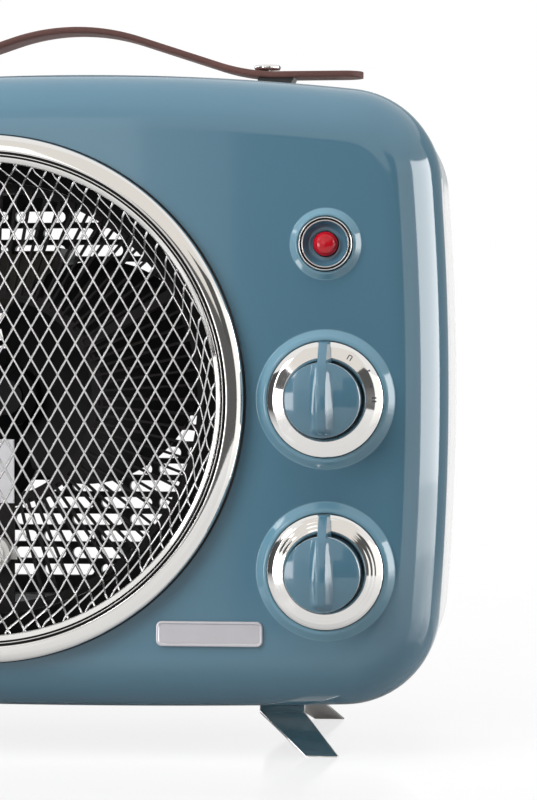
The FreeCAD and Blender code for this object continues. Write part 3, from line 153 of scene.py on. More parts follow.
def finished(bm, name, sharp=32):
    """A piece from a bmesh, shaded smooth with crisp edges where faces meet at more than an angle."""
    bmesh.ops.recalc_face_normals(bm, faces=bm.faces)
    mesh = bpy.data.meshes.new(name)
    bm.to_mesh(mesh)
    bm.free()
    mesh.shade_smooth()
    mesh.set_sharp_from_angle(angle=math.radians(sharp))
    piece = bpy.data.objects.new(name, mesh)
    bpy.context.scene.collection.objects.link(piece)
    return piece


def lathe(bm, x, z, profile, steps=128):
    """Turns a profile of (radius, depth) points about a line along the depth."""
    least = 0.0005
    loops = [add_loop(bm, circle(x, z, max(radius, least), steps), depth) for radius, depth in profile]
    skin(bm, loops)
    return loops


def carved(piece, cutters):
    """Cuts closed shapes out of a piece and clears them away."""
    for cutter in cutters:
        cut = piece.modifiers.new("cut", "BOOLEAN")
        cut.object = cutter
        cut.solver = "EXACT"
    bpy.context.view_layer.update()
    whole = piece.evaluated_get(bpy.context.evaluated_depsgraph_get())
    mesh = bpy.data.meshes.new_from_object(whole)
    piece.modifiers.clear()
    piece.data = mesh
    for cutter in cutters:
        bpy.data.objects.remove(cutter)


def material(name, colour, roughness, metallic=0.0, shade=0.06, spread=0.04, grain=3.0, relief=0.0,
             gleam=0.5):
    """A finish whose tone drifts broadly, and whose gloss and relief vary over a fine grain in mm."""
    broad_grain, least_roughness, relief_strength = grain * 9, 0.01, 0.5
    surface = bpy.data.materials.new(name)
    surface.use_nodes = True
    nodes = surface.node_tree.nodes
    links = surface.node_tree.links
    shader = nodes["Principled BSDF"]
    shader.inputs["Metallic"].default_value = metallic
    shader.inputs["Specular IOR Level"].default_value = gleam
    where = nodes.new("ShaderNodeTexCoord")
    noises = []
    for size in (broad_grain, grain):
        noise = nodes.new("ShaderNodeTexNoise")
        noise.inputs["Scale"].default_value = 1000 / size
        noise.inputs["Detail"].default_value = 4
        links.new(where.outputs["Object"], noise.inputs["Vector"])
        noises.append(noise)
    broad, fine = noises
    tone = nodes.new("ShaderNodeMix")
    tone.data_type = "RGBA"
    tone.inputs["A"].default_value = [channel * (1 - shade) for channel in colour] + [1]
    tone.inputs["B"].default_value = [channel * (1 + shade) for channel in colour] + [1]
    links.new(broad.outputs["Fac"], tone.inputs["Factor"])
    links.new(tone.outputs["Result"], shader.inputs["Base Color"])
    gloss = nodes.new("ShaderNodeMapRange")
    gloss.inputs["To Min"].default_value = max(roughness - spread, least_roughness)
    gloss.inputs["To Max"].default_value = roughness + spread
    links.new(fine.outputs["Fac"], gloss.inputs["Value"])
    links.new(gloss.outputs["Result"], shader.inputs["Roughness"])
    if relief:
        bump = nodes.new("ShaderNodeBump")
        bump.inputs["Distance"].default_value = relief * mm
        bump.inputs["Strength"].default_value = relief_strength
        links.new(fine.outputs["Fac"], bump.inputs["Height"])
        links.new(bump.outputs["Normal"], shader.inputs["Normal"])
    return surface


def dress(piece, body, surface, slot, *nodes):
    """Gives a piece its finish, its body and the solids that it stands for."""
    piece.data.materials.append(surface)
    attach(piece, body)
    if nodes:
        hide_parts(*nodes)
    return piece


def rear_shell_piece():
    """The rear shell as a wall of even thickness, with its window and sunk screw holes."""
    step, edge, lip = 0.6, 30.0, 0.5
    window_half, window_corner = 76.3, 20.0
    inlet_x, inlet_z, inlet_radius = 90.0, 62.0, 6.2
    side_middle, bore_start, bore_end = 60.0, 60.0, 140.0
    start = front_depth + parting_gap
    straight_end = rear_face - edge
    bm = bmesh.new()
    path = [(step + lip, start), (step + lip / 4, start + lip / 4), (step, start + lip),
            (step, side_middle), (step, straight_end - flat_run)]
    for turn in range(0, 91, 5):
        angle = math.radians(turn)
        path.append((step + edge * (1 - math.cos(angle)), straight_end + edge * math.sin(angle)))
    path.append((step + edge + flat_run, rear_face))
    loops = [add_loop(bm, case_outline(inset), depth) for inset, depth in path]
    skin(bm, loops)
    window = rounded_plate(grille_x, grille_z, window_half, window_half, window_corner)
    inlet = circle(inlet_x, inlet_z, inlet_radius, 40)
    fill_between(bm, [loops[-1], add_loop(bm, window, rear_face), add_loop(bm, inlet, rear_face)])
    piece = finished(bm, "rear_shell_white")
    thick = piece.modifiers.new("wall", "SOLIDIFY")
    thick.thickness = shell_wall * mm
    thick.offset = -1
    cutters = []
    for x, z in case_screw_spots:
        bore = bmesh.new()
        ends = lathe(bore, x, z, [(screw_bore, bore_start), (screw_bore, bore_end)], 40)
        bore.faces.new(ends[0])
        bore.faces.new(reversed(ends[1]))
        cutters.append(finished(bore, "bore"))
    carved(piece, cutters)
    piece.data.set_sharp_from_angle(angle=math.radians(32))
    return piece


white_gloss = material("white_gloss", (0.84, 0.84, 0.83), 0.16, shade=0.012, spread=0.03, grain=6,
                       relief=0.01)
dress(rear_shell_piece(), "case", white_gloss, "shell_white", "rear_shell")

bm = bmesh.new()
post_path = [(screw_hole, post_front), (post_radius, post_front), (post_radius, post_end),
             (screw_bore, post_tip), (screw_bore, screw_seat), (screw_hole, screw_seat),
             (screw_hole, post_front)]
for x, z in case_screw_spots:
    lathe(bm, x, z, post_path, 40)
dress(finished(bm, "screw_posts"), "case", white_gloss, "shell_white")

# Intake grille: a black moulded plate with slots laid like bricks, set in the rear wall's window.
# Its flange lies against the wall inside.
black_moulding = material("black_moulding", (0.012, 0.012, 0.013), 0.42, shade=0.2, spread=0.08, grain=0.7,
                          relief=0.02)
intake_half, intake_flange, intake_corner = 76.0, 79.5, 20.0
slot_half_height, slot_round = 2.25, 2.2


def intake_slots():
    """The middles and half lengths of the slots: rows laid like bricks, cut short at the corners."""
    margin, shift, half_length = 3.0, -2.9, 10.25
    row_pitch, slot_pitch = 6.7, 23.2
    rows, columns = 11, 4
    slots = []
    for row in range(-rows, rows):
        rise = (row + 0.5) * row_pitch
        past = max(0.0, abs(rise) + slot_half_height - intake_half + intake_corner)
        limit = intake_half - margin - intake_corner + math.sqrt(intake_corner ** 2 - past ** 2)
        for column in range(-columns, columns + 1):
            middle = (column + 0.5 * (row % 2)) * slot_pitch + shift
            left = max(middle - half_length, -limit)
            right = min(middle + half_length, limit)
            if right - left > 4 * slot_half_height:
                slots.append(((left + right) / 2, rise, (right - left) / 2))
    return slots


def intake_grille_piece():
    """The plate with its flange and its round-ended slots."""
    front, flange_back, back = rear_face - 4.1, rear_face - shell_wall, rear_face - 0.5
    bm = bmesh.new()
    rim = []
    for reach, depth in ((intake_flange, front), (intake_flange, flange_back), (intake_half, flange_back),
                         (intake_half, back)):
        rim.append(add_loop(bm, rounded_plate(grille_x, grille_z, reach, reach, intake_corner), depth))
    skin(bm, rim)
    front_loops = [rim[0]]
    back_loops = [rim[-1]]
    for across, rise, half_length in intake_slots():
        outline = rounded_plate(grille_x + across, grille_z + rise, half_length, slot_half_height,
                                slot_round, 4)
        walls = [add_loop(bm, outline, depth) for depth in (front, back)]
        skin(bm, walls)
        front_loops.append(walls[0])
        back_loops.append(walls[1])
    fill_between(bm, front_loops)
    fill_between(bm, back_loops)
    return finished(bm, "intake_grille_black", 35)


dress(intake_grille_piece(), "case", black_moulding, "black_plastic", "intake_grille")

# Motor, switchgear and screws: a laminated core with a taped coil, steel brackets, black mouldings and
# plain steel fixings; the core, coil and brackets are darkened as painted shade for the inside of the
# case.
# They keep the shapes of their solids and get their finishes here.


def coat_nodes(surface, *names):
    """Puts a finish on solids that keep their own shape."""
    for name in names:
        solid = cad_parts[name]
        solid.data.materials.clear()
        solid.data.materials.append(surface)
        solid.data.shade_smooth()
        solid.data.set_sharp_from_angle(angle=math.radians(30))


zinc = material("zinc_plated", (0.70, 0.72, 0.73), 0.32, metallic=1.0, shade=0.14, spread=0.12, grain=2,
                relief=0.02)
# Painted shade: the brackets, the core and the coil are coloured near black for the dark inside of the
# case.
dark_bracket_steel = material("dark_bracket_steel_finish", (0.030, 0.030, 0.032), 0.5, metallic=0.6, shade=0.25, spread=0.1,
                      grain=0.8, relief=0.02)
plain_steel = material("plain_steel", (0.56, 0.56, 0.57), 0.34, metallic=1.0, shade=0.1, spread=0.1,
                       grain=0.6)
laminated = material("laminated_steel", (0.07, 0.07, 0.075), 0.5, metallic=1.0, shade=0.2, spread=0.1,
                     grain=0.6)
coil_tape = material("coil_tape", (0.045, 0.035, 0.022), 0.5, shade=0.25, grain=1.2, relief=0.05)
sintered = material("sintered_bronze", (0.55, 0.38, 0.18), 0.5, metallic=1.0, shade=0.15, grain=0.4)
white_ceramic = material("white_ceramic", (0.80, 0.79, 0.75), 0.3, shade=0.05, grain=1.5, relief=0.01)
coat_nodes(zinc, "thermostat_frame", "pilot_clip")
coat_nodes(dark_bracket_steel, "motor_arm_left", "motor_arm_right", "front_bridge", "rear_bridge", "arm_screws")
coat_nodes(plain_steel, "duct_screws", "case_screws", "foot_screws", "strap_nuts", "selector_nut",
           "thermostat_nut", "motor_shaft", "motor_bolts", "selector_spindle", "thermostat_spindle",
           "thermostat_blades")
coat_nodes(laminated, "motor_stack", "motor_rotor")
coat_nodes(coil_tape, "motor_coil")
coat_nodes(sintered, "motor_bushes")
coat_nodes(black_moulding, "motor_bobbin", "selector_switch", "terminal_block", "pilot_lamp", "cord_gland")
coat_nodes(white_ceramic, "thermostat_stack", "thermal_cutout")

# Fan and duct: two broad paddles moulded with their hub in black plastic, pushed onto the motor's
# shaft, in a duct of pale coated sheet that is screwed behind the front shell.
# The duct's tone is painted darker towards its mouth, as painted shade.
# The fan's black also serves as painted shade on the ring and on the lamp's lip.
fan_black = material("fan_black", (0.003, 0.003, 0.004), 0.4, shade=0.2, spread=0.06, grain=1.5,
                     relief=0.01, gleam=0.2)
duct_sheet = material("duct_sheet", (0.36, 0.36, 0.37), 0.6, shade=0.2, spread=0.08, grain=3, relief=0.02,
                      gleam=0.08)
coat_nodes(fan_black, "fan_blades")
coat_nodes(duct_sheet, "air_duct")


def paint_shade_at_mouth(surface, dark_end, pale_start):
    """Paints shade on a sheet: its tone rises from near black at its mouth to its own colour at a depth.
    """
    painted_shade = (0.004, 0.004, 0.004, 1)
    nodes = surface.node_tree.nodes
    links = surface.node_tree.links
    where = nodes.new("ShaderNodeNewGeometry")
    split = nodes.new("ShaderNodeSeparateXYZ")
    links.new(where.outputs["Position"], split.inputs["Vector"])
    rise = nodes.new("ShaderNodeMapRange")
    rise.inputs["From Min"].default_value = (panel_y + dark_end) * mm
    rise.inputs["From Max"].default_value = (panel_y + pale_start) * mm
    links.new(split.outputs["Y"], rise.inputs["Value"])
    tone = nodes.new("ShaderNodeMix")
    tone.data_type = "RGBA"
    tone.inputs["A"].default_value = painted_shade
    shader = nodes["Principled BSDF"]
    links.new(shader.inputs["Base Color"].links[0].from_socket, tone.inputs["B"])
    links.new(rise.outputs["Result"], tone.inputs["Factor"])
    links.new(tone.outputs["Result"], shader.inputs["Base Color"])


# Painted shade: the duct is coloured darker towards its mouth, where the ring and the shell shade it.
paint_shade_at_mouth(duct_sheet, dark_end=22.0, pale_start=40.0)

# Heating element: zigzags of resistance wire wound on a dark mica frame, with a pale board
# below the hub that carries the cut-out.
mica = material("mica", (0.007, 0.006, 0.006), 0.5, shade=0.3, spread=0.1, grain=1.2, relief=0.02,
                gleam=0.2)
pale_board = material("pale_board", (0.80, 0.79, 0.82), 0.5, shade=0.05, grain=2, relief=0.02)
oxidised_wire = material("oxidised_wire", (0.020, 0.018, 0.018), 0.55, metallic=0.6, shade=0.3, grain=0.5,
                         gleam=0.2)
coat_nodes(mica, "element_frame")
coat_nodes(pale_board, "cutout_board")
coat_nodes(oxidised_wire, "heating_wire_front", "heating_wire_rear")

# Front shell: the blue half of the case, injection-moulded and lacquered to a deep gloss.
# Raised rims round the dials and the lamp are moulded with it, and they get a paler blue as a painted
# reflection.
control_x = 96.6
thermostat_z = grille_z - 60.4
pilot_z = grille_z + 54.5
opening_radius = 86.0


def rim_profile(inner, crest, height, round_over, blend):
    """A moulded rim: a flank swept up from the panel, rounded over to a crest, and a wall inside it."""
    lean, sunk = math.radians(42), 0.8
    turn_x, turn_z = math.sin(lean), 1 - math.cos(lean)
    straight = (height - (round_over + blend) * turn_z) / math.tan(lean)
    top = inner + crest
    foot = top + (round_over + blend) * turn_x + straight
    points = [(foot, sunk)]
    for step in range(7):
        angle = lean * step / 6
        points.append((foot - blend * math.sin(angle), -blend * (1 - math.cos(angle))))
    for step in range(11):
        angle = lean * (1 - step / 10)
        points.append((top + round_over * math.sin(angle), -height + round_over * (1 - math.cos(angle))))
    for step in range(1, 7):
        angle = math.pi / 2 * step / 6
        points.append((inner + crest * (1 - math.sin(angle)), -height + crest * (1 - math.cos(angle))))
    points.append((inner, 0))
    return points


def front_shell_piece():
    """The front shell: straight sides, a rounded front edge and a flat panel with its rims."""
    edge, lip, inner_wall = 20.0, 0.5, 6
    dial_hole, spindle_hole, pilot_hole = 21.3, 4.7, 10.4
    dial_rim = rim_profile(inner=20.6, crest=0.4, height=2.3, round_over=2.2, blend=1.0)
    pilot_rim = rim_profile(inner=9.8, crest=0.3, height=1.8, round_over=1.2, blend=0.7)
    bm = bmesh.new()
    path = [(shell_wall, front_depth - inner_wall), (shell_wall, front_depth), (lip, front_depth),
            (lip / 4, front_depth - lip / 4), (0, front_depth - lip), (0, edge + flat_run)]
    for turn in range(0, 91, 5):
        angle = math.radians(turn)
        path.append((edge * (1 - math.cos(angle)), edge * (1 - math.sin(angle))))
    path.append((edge + flat_run, 0))
    loops = [add_loop(bm, case_outline(inset), depth) for inset, depth in path]
    skin(bm, loops)
    opening = add_loop(bm, circle(grille_x, grille_z, opening_radius, 160), 0)
    borders = [loops[-1], opening]
    for z in (grille_z, thermostat_z):
        rim = lathe(bm, control_x, z, dial_rim, 128)
        borders.append(add_loop(bm, circle(control_x, z, dial_hole, 128), 0))
        hole = add_loop(bm, circle(control_x, z, spindle_hole, 128), 0)
        skin(bm, [rim[-1], hole])
    lathe(bm, control_x, pilot_z, pilot_rim, 96)
    borders.append(add_loop(bm, circle(control_x, pilot_z, pilot_hole, 96), 0))
    fill_between(bm, borders)
    throat = add_loop(bm, circle(grille_x, grille_z, opening_radius, 160), shell_wall)
    skin(bm, [opening, throat])
    return finished(bm, "front_shell_blue")


def lacquer(name, colour):
    """Gloss lacquer on a moulding: an even colour under a clear coat."""
    surface = material(name, colour, 0.10, shade=0.02, spread=0.02, grain=5, relief=0.004)
    shader = surface.node_tree.nodes["Principled BSDF"]
    shader.inputs["Coat Weight"].default_value = 0.5
    shader.inputs["Coat Roughness"].default_value = 0.03
    return surface


def second_finish(piece, surface, x, z, chosen):
    """Gives a second finish to the faces that are chosen by their radius about a point and their depth."""
    piece.data.materials.append(surface)
    for face in piece.data.polygons:
        radius = math.hypot(face.center.x / mm - x, face.center.z / mm - z)
        if chosen(radius, face.center.y / mm - panel_y):
            face.material_index = 1


def gets_painted_rim_sheen(radius, depth):
    """Whether a face stands in front of the panel, as only the rims do, and so gets the painted sheen."""
    return depth < -0.02


blue_gloss = lacquer("blue_gloss", (0.078, 0.182, 0.252))
front_shell = dress(front_shell_piece(), "case", blue_gloss, "shell_blue", "front_shell")
# Painted reflection: the rims get a paler blue than the panel, standing in for the bright room they
# mirror.
rim_painted_sheen = lacquer("rim_painted_sheen", (0.125, 0.27, 0.355))
second_finish(front_shell, rim_painted_sheen, control_x, grille_z, gets_painted_rim_sheen)

# Mesh grille: expanded sheet metal, pressed to a shallow pan and chromed.
# Its flange lies under the lip of the ring.
mesh_chrome = material("mesh_chrome", (0.74, 0.74, 0.74), 0.14, metallic=1.0, shade=0.06, spread=0.05,
                       grain=1)
pan_flat = 77.0
pan_depth = 7.5
pan_lean = math.atan2(9.5, 5.6)
pan_bend = 2.0
pan_wall = 9.3
pan_bend_start = pan_flat - pan_bend * math.tan(pan_lean / 2)


def pan_point(across, up):
    """The place and the outward direction of a point of the flat sheet, once pressed into the pan."""
    reach = math.hypot(across, up)
    out = Vector((across, up)) / max(reach, 0.001)
    turn = min(max((reach - pan_bend_start) / pan_bend, 0.0), pan_lean)
    past = max(reach - pan_bend_start - pan_bend * pan_lean, 0.0)
    climb = min(past, pan_wall)
    bent = min(reach, pan_bend_start) + pan_bend * math.sin(turn)
    radius = bent + climb * math.cos(pan_lean) + past - climb
    depth = pan_depth - pan_bend * (1 - math.cos(turn)) - climb * math.sin(pan_lean)
    point = place(grille_x + out.x * radius, depth, grille_z + out.y * radius)
    return point, Vector((-math.sin(turn) * out.x, -math.cos(turn), -math.sin(turn) * out.y))


def add_strand(bm, offset, direction, normal, half_length, lean):
    """One strand: a rounded ribbon, leaning to one side, that runs across the pan and up its wall."""
    half_width, half_height, tilt = 0.43, 0.4, 0.25
    step, sides = 1.4, 8
    spans = max(int(2 * half_length / step), 4)
    places = []
    for index in range(spans + 1):
        spot = normal * offset + direction * half_length * (2 * index / spans - 1)
        places.append(pan_point(spot.x, spot.y))
    rings = []
    for index, (point, out) in enumerate(places):
        ahead = places[min(index + 1, spans)][0] - places[max(index - 1, 0)][0]
        across = ahead.cross(out).normalized()
        ring = []
        for side in range(sides):
            angle = 2 * math.pi * (side + 0.5) / sides
            width = half_width * math.cos(angle)
            height = half_height * math.sin(angle) - tilt * lean * width
            ring.append(bm.verts.new(point + (across * width + out * height) * mm))
        rings.append(ring)
    skin(bm, rings, capped=True)


def mesh_grille_piece():
    """Two crossing sets of strands."""
    pitch_x, pitch_z, phase, reach = 6.4, 11.2, 2.9, 89.4
    bm = bmesh.new()
    along = Vector((pitch_x, pitch_z)).normalized()
    apart = pitch_x * along.y
    count = int(reach / apart) + 2
    for lean in (1, -1):
        direction = Vector((along.x * lean, along.y))
        normal = Vector((direction.y, -direction.x))
        anchor = Vector((pitch_x / 2, phase)).dot(normal)
        for line in range(-count, count + 1):
            offset = anchor + line * apart
            if abs(offset) < reach - 1:
                add_strand(bm, offset, direction, normal, math.sqrt(reach ** 2 - offset ** 2), lean)
    return finished(bm, "mesh_strands", 60)


dress(mesh_grille_piece(), "case", mesh_chrome, "chrome", "mesh_grille")

# Grille ring: a chromed bezel with a round outer band, two fine grooves and a sloping inner band.
# Its thin outer lip, its grooves' floors and its collar are painted black as shade, and its collar goes
# through the panel and is held by the duct behind.
chrome = material("bright_chrome", (0.80, 0.79, 0.77), 0.06, metallic=1.0, shade=0.02, spread=0.025,
                  grain=4)


def eased(points, steps=5):
    """A path through points (a, b, rounding) with each corner rounded by that much."""
    path = []
    for index, (a, b, rounding) in enumerate(points):
        here = Vector((a, b))
        if rounding == 0 or index in (0, len(points) - 1):
            path.append((a, b))
            continue
        before = Vector(points[index - 1][:2])
        after = Vector(points[index + 1][:2])
        start = here + (before - here).normalized() * rounding
        end = here + (after - here).normalized() * rounding
        for step in range(steps + 1):
            share = step / steps
            point = start * (1 - share) ** 2 + here * 2 * share * (1 - share) + end * share ** 2
            path.append((point.x, point.y))
    return path


def ring_path():
    """The ring's section: a thin lip painted as shadow, round outer band, two grooves with a bead between,
    sloping inner band.
    """
    shadow_lip, outer, shoulder, crest, height, fall = 94.0, 93.5, 92.1, 87.9, 6.6, 1.5
    drop = fall * ((shoulder - crest) / (outer - crest)) ** 2
    path = eased([(shadow_lip, 0.0, 0), (shadow_lip, -1.2, 0.3), (outer, -1.4, 0), (outer, -5.2, 1.2),
                  (shoulder, drop - height, 0)])
    for step in range(1, 15):
        radius = shoulder - (shoulder - crest) * step / 14
        path.append((radius, -height + fall * ((radius - crest) / (outer - crest)) ** 2))
    inner = [(crest, -height, 0), (87.6, -6.5, 0.1), (87.45, -5.8, 0.08), (86.75, -5.8, 0.08),
             (86.65, -6.5, 0.12), (86.35, -6.5, 0.12), (86.25, -5.8, 0.08), (85.75, -5.8, 0.08),
             (85.65, -6.4, 0.12), (85.3, -6.2, 0.3), (83.9, -5.0, 0.3), (83.7, -4.6, 0.2),
             (83.7, -2.6, 0.1), (84.7, -2.5, 0.1), (84.7, 8.9, 0.1), (85.7, 8.9, 0.1), (85.7, 0.0, 0.1),
             (shadow_lip, 0.0, 0)]
    return path + eased(inner)[1:]


def painted_shade_on_ring(radius, depth):
    """Whether a face of the ring gets painted shade: the grooves' floors, the collar and the thin outer
    lip.
    """
    groove = 85.7 < radius < 87.55 and -6.3 < depth < -5.5
    collar = radius < 85.8 and depth > -2.55
    shadow_lip = radius > 93.55
    return groove or collar or shadow_lip


bm = bmesh.new()
lathe(bm, grille_x, grille_z, ring_path(), 256)
grille_ring = dress(finished(bm, "grille_ring_chrome", 50), "case", chrome, "chrome", "grille_ring")
# Painted shade: the grooves' floors, the collar and the outer lip are coloured black where shade falls.
second_finish(grille_ring, fan_black, grille_x, grille_z, painted_shade_on_ring)

# Dial rings: chromed rings whose face slopes and then rounds down to its outer edge, bevelled inside.
# They lie in the moulded rims. The lower one has turning lines, the upper one small printed marks.
dial_inner, dial_outer = 13.7, 20.3
dial_height = 5.2


def dial_depth(radius, line_height=0.0):
    """The depth of the dial's face at a radius, with turning lines of a height."""
    crest, round_start, line_pitch = 14.8, 17.7, 1.35
    bevel, slope, round_off = 0.6, 0.296, 0.065
    lines = line_height * math.cos(2 * math.pi * radius / line_pitch)
    inside = max(crest - radius, 0.0)
    outside = max(radius - crest, 0.0)
    beyond = max(radius - round_start, 0.0)
    return -dial_height + bevel * inside ** 2 + slope * outside + round_off * beyond ** 2 + lines


def dial_piece(name, z, line_height):
    """A dial ring with eased edges."""
    edge, steps = 0.1, 64
    face = []
    for step in range(steps + 1):
        radius = dial_outer - edge + (dial_inner - dial_outer + 2 * edge) * step / steps
        face.append((radius, dial_depth(radius, line_height)))
    path = [(dial_outer, 0.0), (dial_outer, face[0][1] + edge)] + face
    path += [(dial_inner, face[-1][1] + edge), (dial_inner, 0.0)]
    bm = bmesh.new()
    lathe(bm, control_x, z, path, 160)
    return finished(bm, name, 50)


for name, z, line_height in (("selector", grille_z, 0.0), ("thermostat", thermostat_z, 0.012)):
    dress(dial_piece(name + "_dial_chrome", z, line_height), "case", chrome, "chrome", name + "_dial")


def add_mark(bm, turn, radius, half_length, half_width):
    """A printed bar on the upper dial at a turn clockwise from the top, laid on the sloping face."""
    ink = 0.03
    angle = math.radians(turn)
    out = Vector((math.sin(angle), math.cos(angle)))
    side = Vector((out.y, -out.x))
    loops = []
    for lift in (0.0, ink):
        loop = []
        for along, across in ((-1, -1), (0, -1.25), (1, -1), (1, 1), (0, 1.25), (-1, 1)):
            spot = out * (radius + half_length * along) + side * half_width * across
            loop.append(bm.verts.new(place(control_x + spot.x, dial_depth(spot.length) - lift,
                                           grille_z + spot.y)))
        loops.append(loop)
    skin(bm, loops, capped=True)


bars = [(29, 17.0, 0.9, 0.16), (33, 17.0, 0.9, 0.16), (31, 17.9, 0.16, 0.5), (57, 18.0, 0.9, 0.3),
        (74, 17.0, 0.4, 0.35), (88, 17.3, 0.8, 0.25), (92, 17.3, 0.8, 0.25)]
bm = bmesh.new()
for turn, radius, half_length, half_width in bars:
    add_mark(bm, turn, radius, half_length, half_width)
mark_ink = material("mark_ink", (0.05, 0.05, 0.055), 0.5, shade=0.3, grain=0.3)
dress(finished(bm, "dial_marks", 40), "case", mark_ink, "black_plastic")

# Control knobs: blue mouldings with a crowned face and a fin, which runs out over the dial
# as a pointer. They push onto the spindles' flats.
knob_radius, knob_bevel, knob_edge, knob_crown = 13.1, 0.6, 16.5, 1.9


def knob_face(radius):
    """The depth of the crowned face at a radius."""
    share = min(radius / (knob_radius - knob_bevel), 1.0)
    return -knob_edge - knob_crown * (1 - share ** 2)


def along_path(path, place_on_path):
    """The height of a path of (place, height) points at a place."""
    for (start, low), (end, high) in zip(path, path[1:]):
        if start <= place_on_path <= end:
            return low + (high - low) * (place_on_path - start) / max(end - start, 0.0001)
    return path[-1][1]


def fin_section(rise, ridge):
    """Half of the fin's section at a rise above the middle, as (half width, depth) from ridge to foot."""
    half_ridge, half_base, half_neck, pointer_depth = 1.5, 4.3, 2.6, -6.45
    sunk, neck_taper, hollow = 0.1, 0.4, 0.25
    chord = math.sqrt(max((knob_radius - sunk) ** 2 - rise ** 2, 0.0))
    if chord > half_neck:
        half_foot = min(half_base, chord)
        foot = knob_face(math.hypot(half_foot, rise)) + sunk
    else:
        half_foot = half_neck - neck_taper * (rise - knob_radius) / (dial_outer - knob_radius)
        foot = pointer_depth
    section = [(half_ridge - 0.6, ridge - 0.14), (half_ridge - 0.2, ridge - 0.08)]
    for level in range(9):
        drop = level / 8
        sag = hollow * math.sin(math.pi * drop)
        section.append((half_ridge + (half_foot - half_ridge) * drop, ridge + (foot - ridge) * drop + sag))
    return section


def knob_piece(name, z):
    """A turned cap with a crowned face, and a fin whose flanks slope down to the face."""
    bm = bmesh.new()
    cap = [(11.2, -1.0), (12.9, -1.0), (knob_radius, -1.3), (knob_radius, -knob_edge + knob_bevel),
           (knob_radius - 0.25 * knob_bevel, -knob_edge + 0.25 * knob_bevel),
           (knob_radius - knob_bevel, -knob_edge)]
    for step in range(1, 17):
        radius = (knob_radius - knob_bevel) * (1 - step / 16)
        cap.append((radius, knob_face(radius)))
    lathe(bm, control_x, z, cap, 128)
    ridge_path = eased([(-12.1, -16.9, 0), (-10.6, -19.2, 0.8), (-4.0, -20.7, 3.0), (4.0, -20.3, 3.5),
                        (12.6, -17.6, 2.5), (20.1, -10.8, 0.5), (20.3, -9.0, 0)], 8)
    stations = [-12.1, -12.05, -11.9, -11.6, -11.2, -10.6, -9.8] + list(range(-9, 12))
    stations += [11.5, 12.0, 12.4, 12.65, 12.8, 13.2, 14.0, 15.0, 16.0, 17.0, 18.0, 19.0, 19.8, 20.1, 20.3]
    rows = []
    for rise in stations:
        half = fin_section(rise, along_path(ridge_path, rise))
        outline = [(-width, depth) for width, depth in reversed(half)] + half
        rows.append([bm.verts.new(place(control_x + x, depth, z + rise)) for x, depth in outline])
    skin(bm, rows, capped=True)
    return finished(bm, name, 38)


for body, z in (("selector", grille_z), ("thermostat", thermostat_z)):
    dress(knob_piece(body + "_knob_blue", z), body, blue_gloss, "shell_blue", body + "_knob")

# Pilot lamp: a thin chromed lip of two beads round a blue dish, and a bevelled red lens in the middle,
# clipped into the panel from behind. The groove between the beads is painted black as shade.


def pilot_groove_shade(radius, depth):
    """Whether a face of the lip is in the groove between its beads, which is painted black as shade."""
    return 8.37 < radius < 8.97 and depth > -2.9


bm = bmesh.new()
lip = [(9.5, 0.0, 0), (9.5, -2.6, 0.2), (9.3, -3.2, 0.2), (9.0, -3.2, 0.15), (8.9, -2.0, 0.05),
       (8.45, -2.0, 0.05), (8.35, -3.0, 0.1), (8.0, -3.0, 0.15), (7.9, -2.5, 0)]
lathe(bm, control_x, pilot_z, eased(lip), 96)
pilot_lip = dress(finished(bm, "pilot_lip", 50), "case", chrome, "chrome", "pilot_bezel")
# Painted shade: the groove between the lip's beads is coloured black.
second_finish(pilot_lip, fan_black, control_x, pilot_z, pilot_groove_shade)
bm = bmesh.new()
dish = [(7.9, -2.5, 0), (7.0, 0.2, 1.2), (5.4, 1.0, 0.8), (4.6, 1.0, 0.2), (4.6, 8.0, 0), (6.0, 8.0, 0),
        (6.0, 1.6, 0)]
lathe(bm, control_x, pilot_z, eased(dish), 96)
dress(finished(bm, "pilot_dish", 50), "case", blue_gloss, "shell_blue")
bm = bmesh.new()
lens = [(4.3, 7.6, 0), (4.3, -1.0, 0.3), (3.1, -2.3, 0.4), (1.6, -2.7, 0.5), (0.0, -2.8, 0)]
lathe(bm, control_x, pilot_z, eased(lens), 64)
red_lens = material("red_lens", (0.56, 0.004, 0.016), 0.08, shade=0.1, spread=0.03, grain=1)
red_lens.node_tree.nodes["Principled BSDF"].inputs["Transmission Weight"].default_value = 0.15
dress(finished(bm, "pilot_lens_red", 40), "case", red_lens, "lens_red", "pilot_lens")

# Bare plate: a stamped silver plate with a raised rim, glued low on the panel.
# Its field lies below the rim and has a fine matt grain.
badge_silver = material("stamped_silver", (0.58, 0.57, 0.60), 0.36, metallic=0.85, shade=0.05, spread=0.06,
                        grain=1.2, relief=0.02)
plate_x, plate_z = 55.5, 45.1
plate_half_width, plate_half_height, plate_corner, least_corner = 18.9, 4.5, 2.1, 0.5
plate_steps = [(0.0, 0.0), (0.0, -0.8), (0.15, -1.08), (0.45, -1.2), (0.75, -1.2), (1.05, -1.0),
               (1.2, -0.7)]
bm = bmesh.new()
loops = []
for inset, depth in plate_steps:
    outline = rounded_plate(plate_x, plate_z, plate_half_width - inset, plate_half_height - inset,
                            max(plate_corner - inset, least_corner))
    loops.append(add_loop(bm, outline, depth))
skin(bm, loops)
fill_between(bm, [loops[-1]])
dress(finished(bm, "badge_plate_silver", 40), "case", badge_silver, "badge_silver", "badge_plate")

# Carrying strap: a brown leather strip with burnished edges, arched between two studs.
# Its tails are left free beyond the studs.
strap_depth = 54.0
strap_base = 245.23
strap_sheet = 2.2


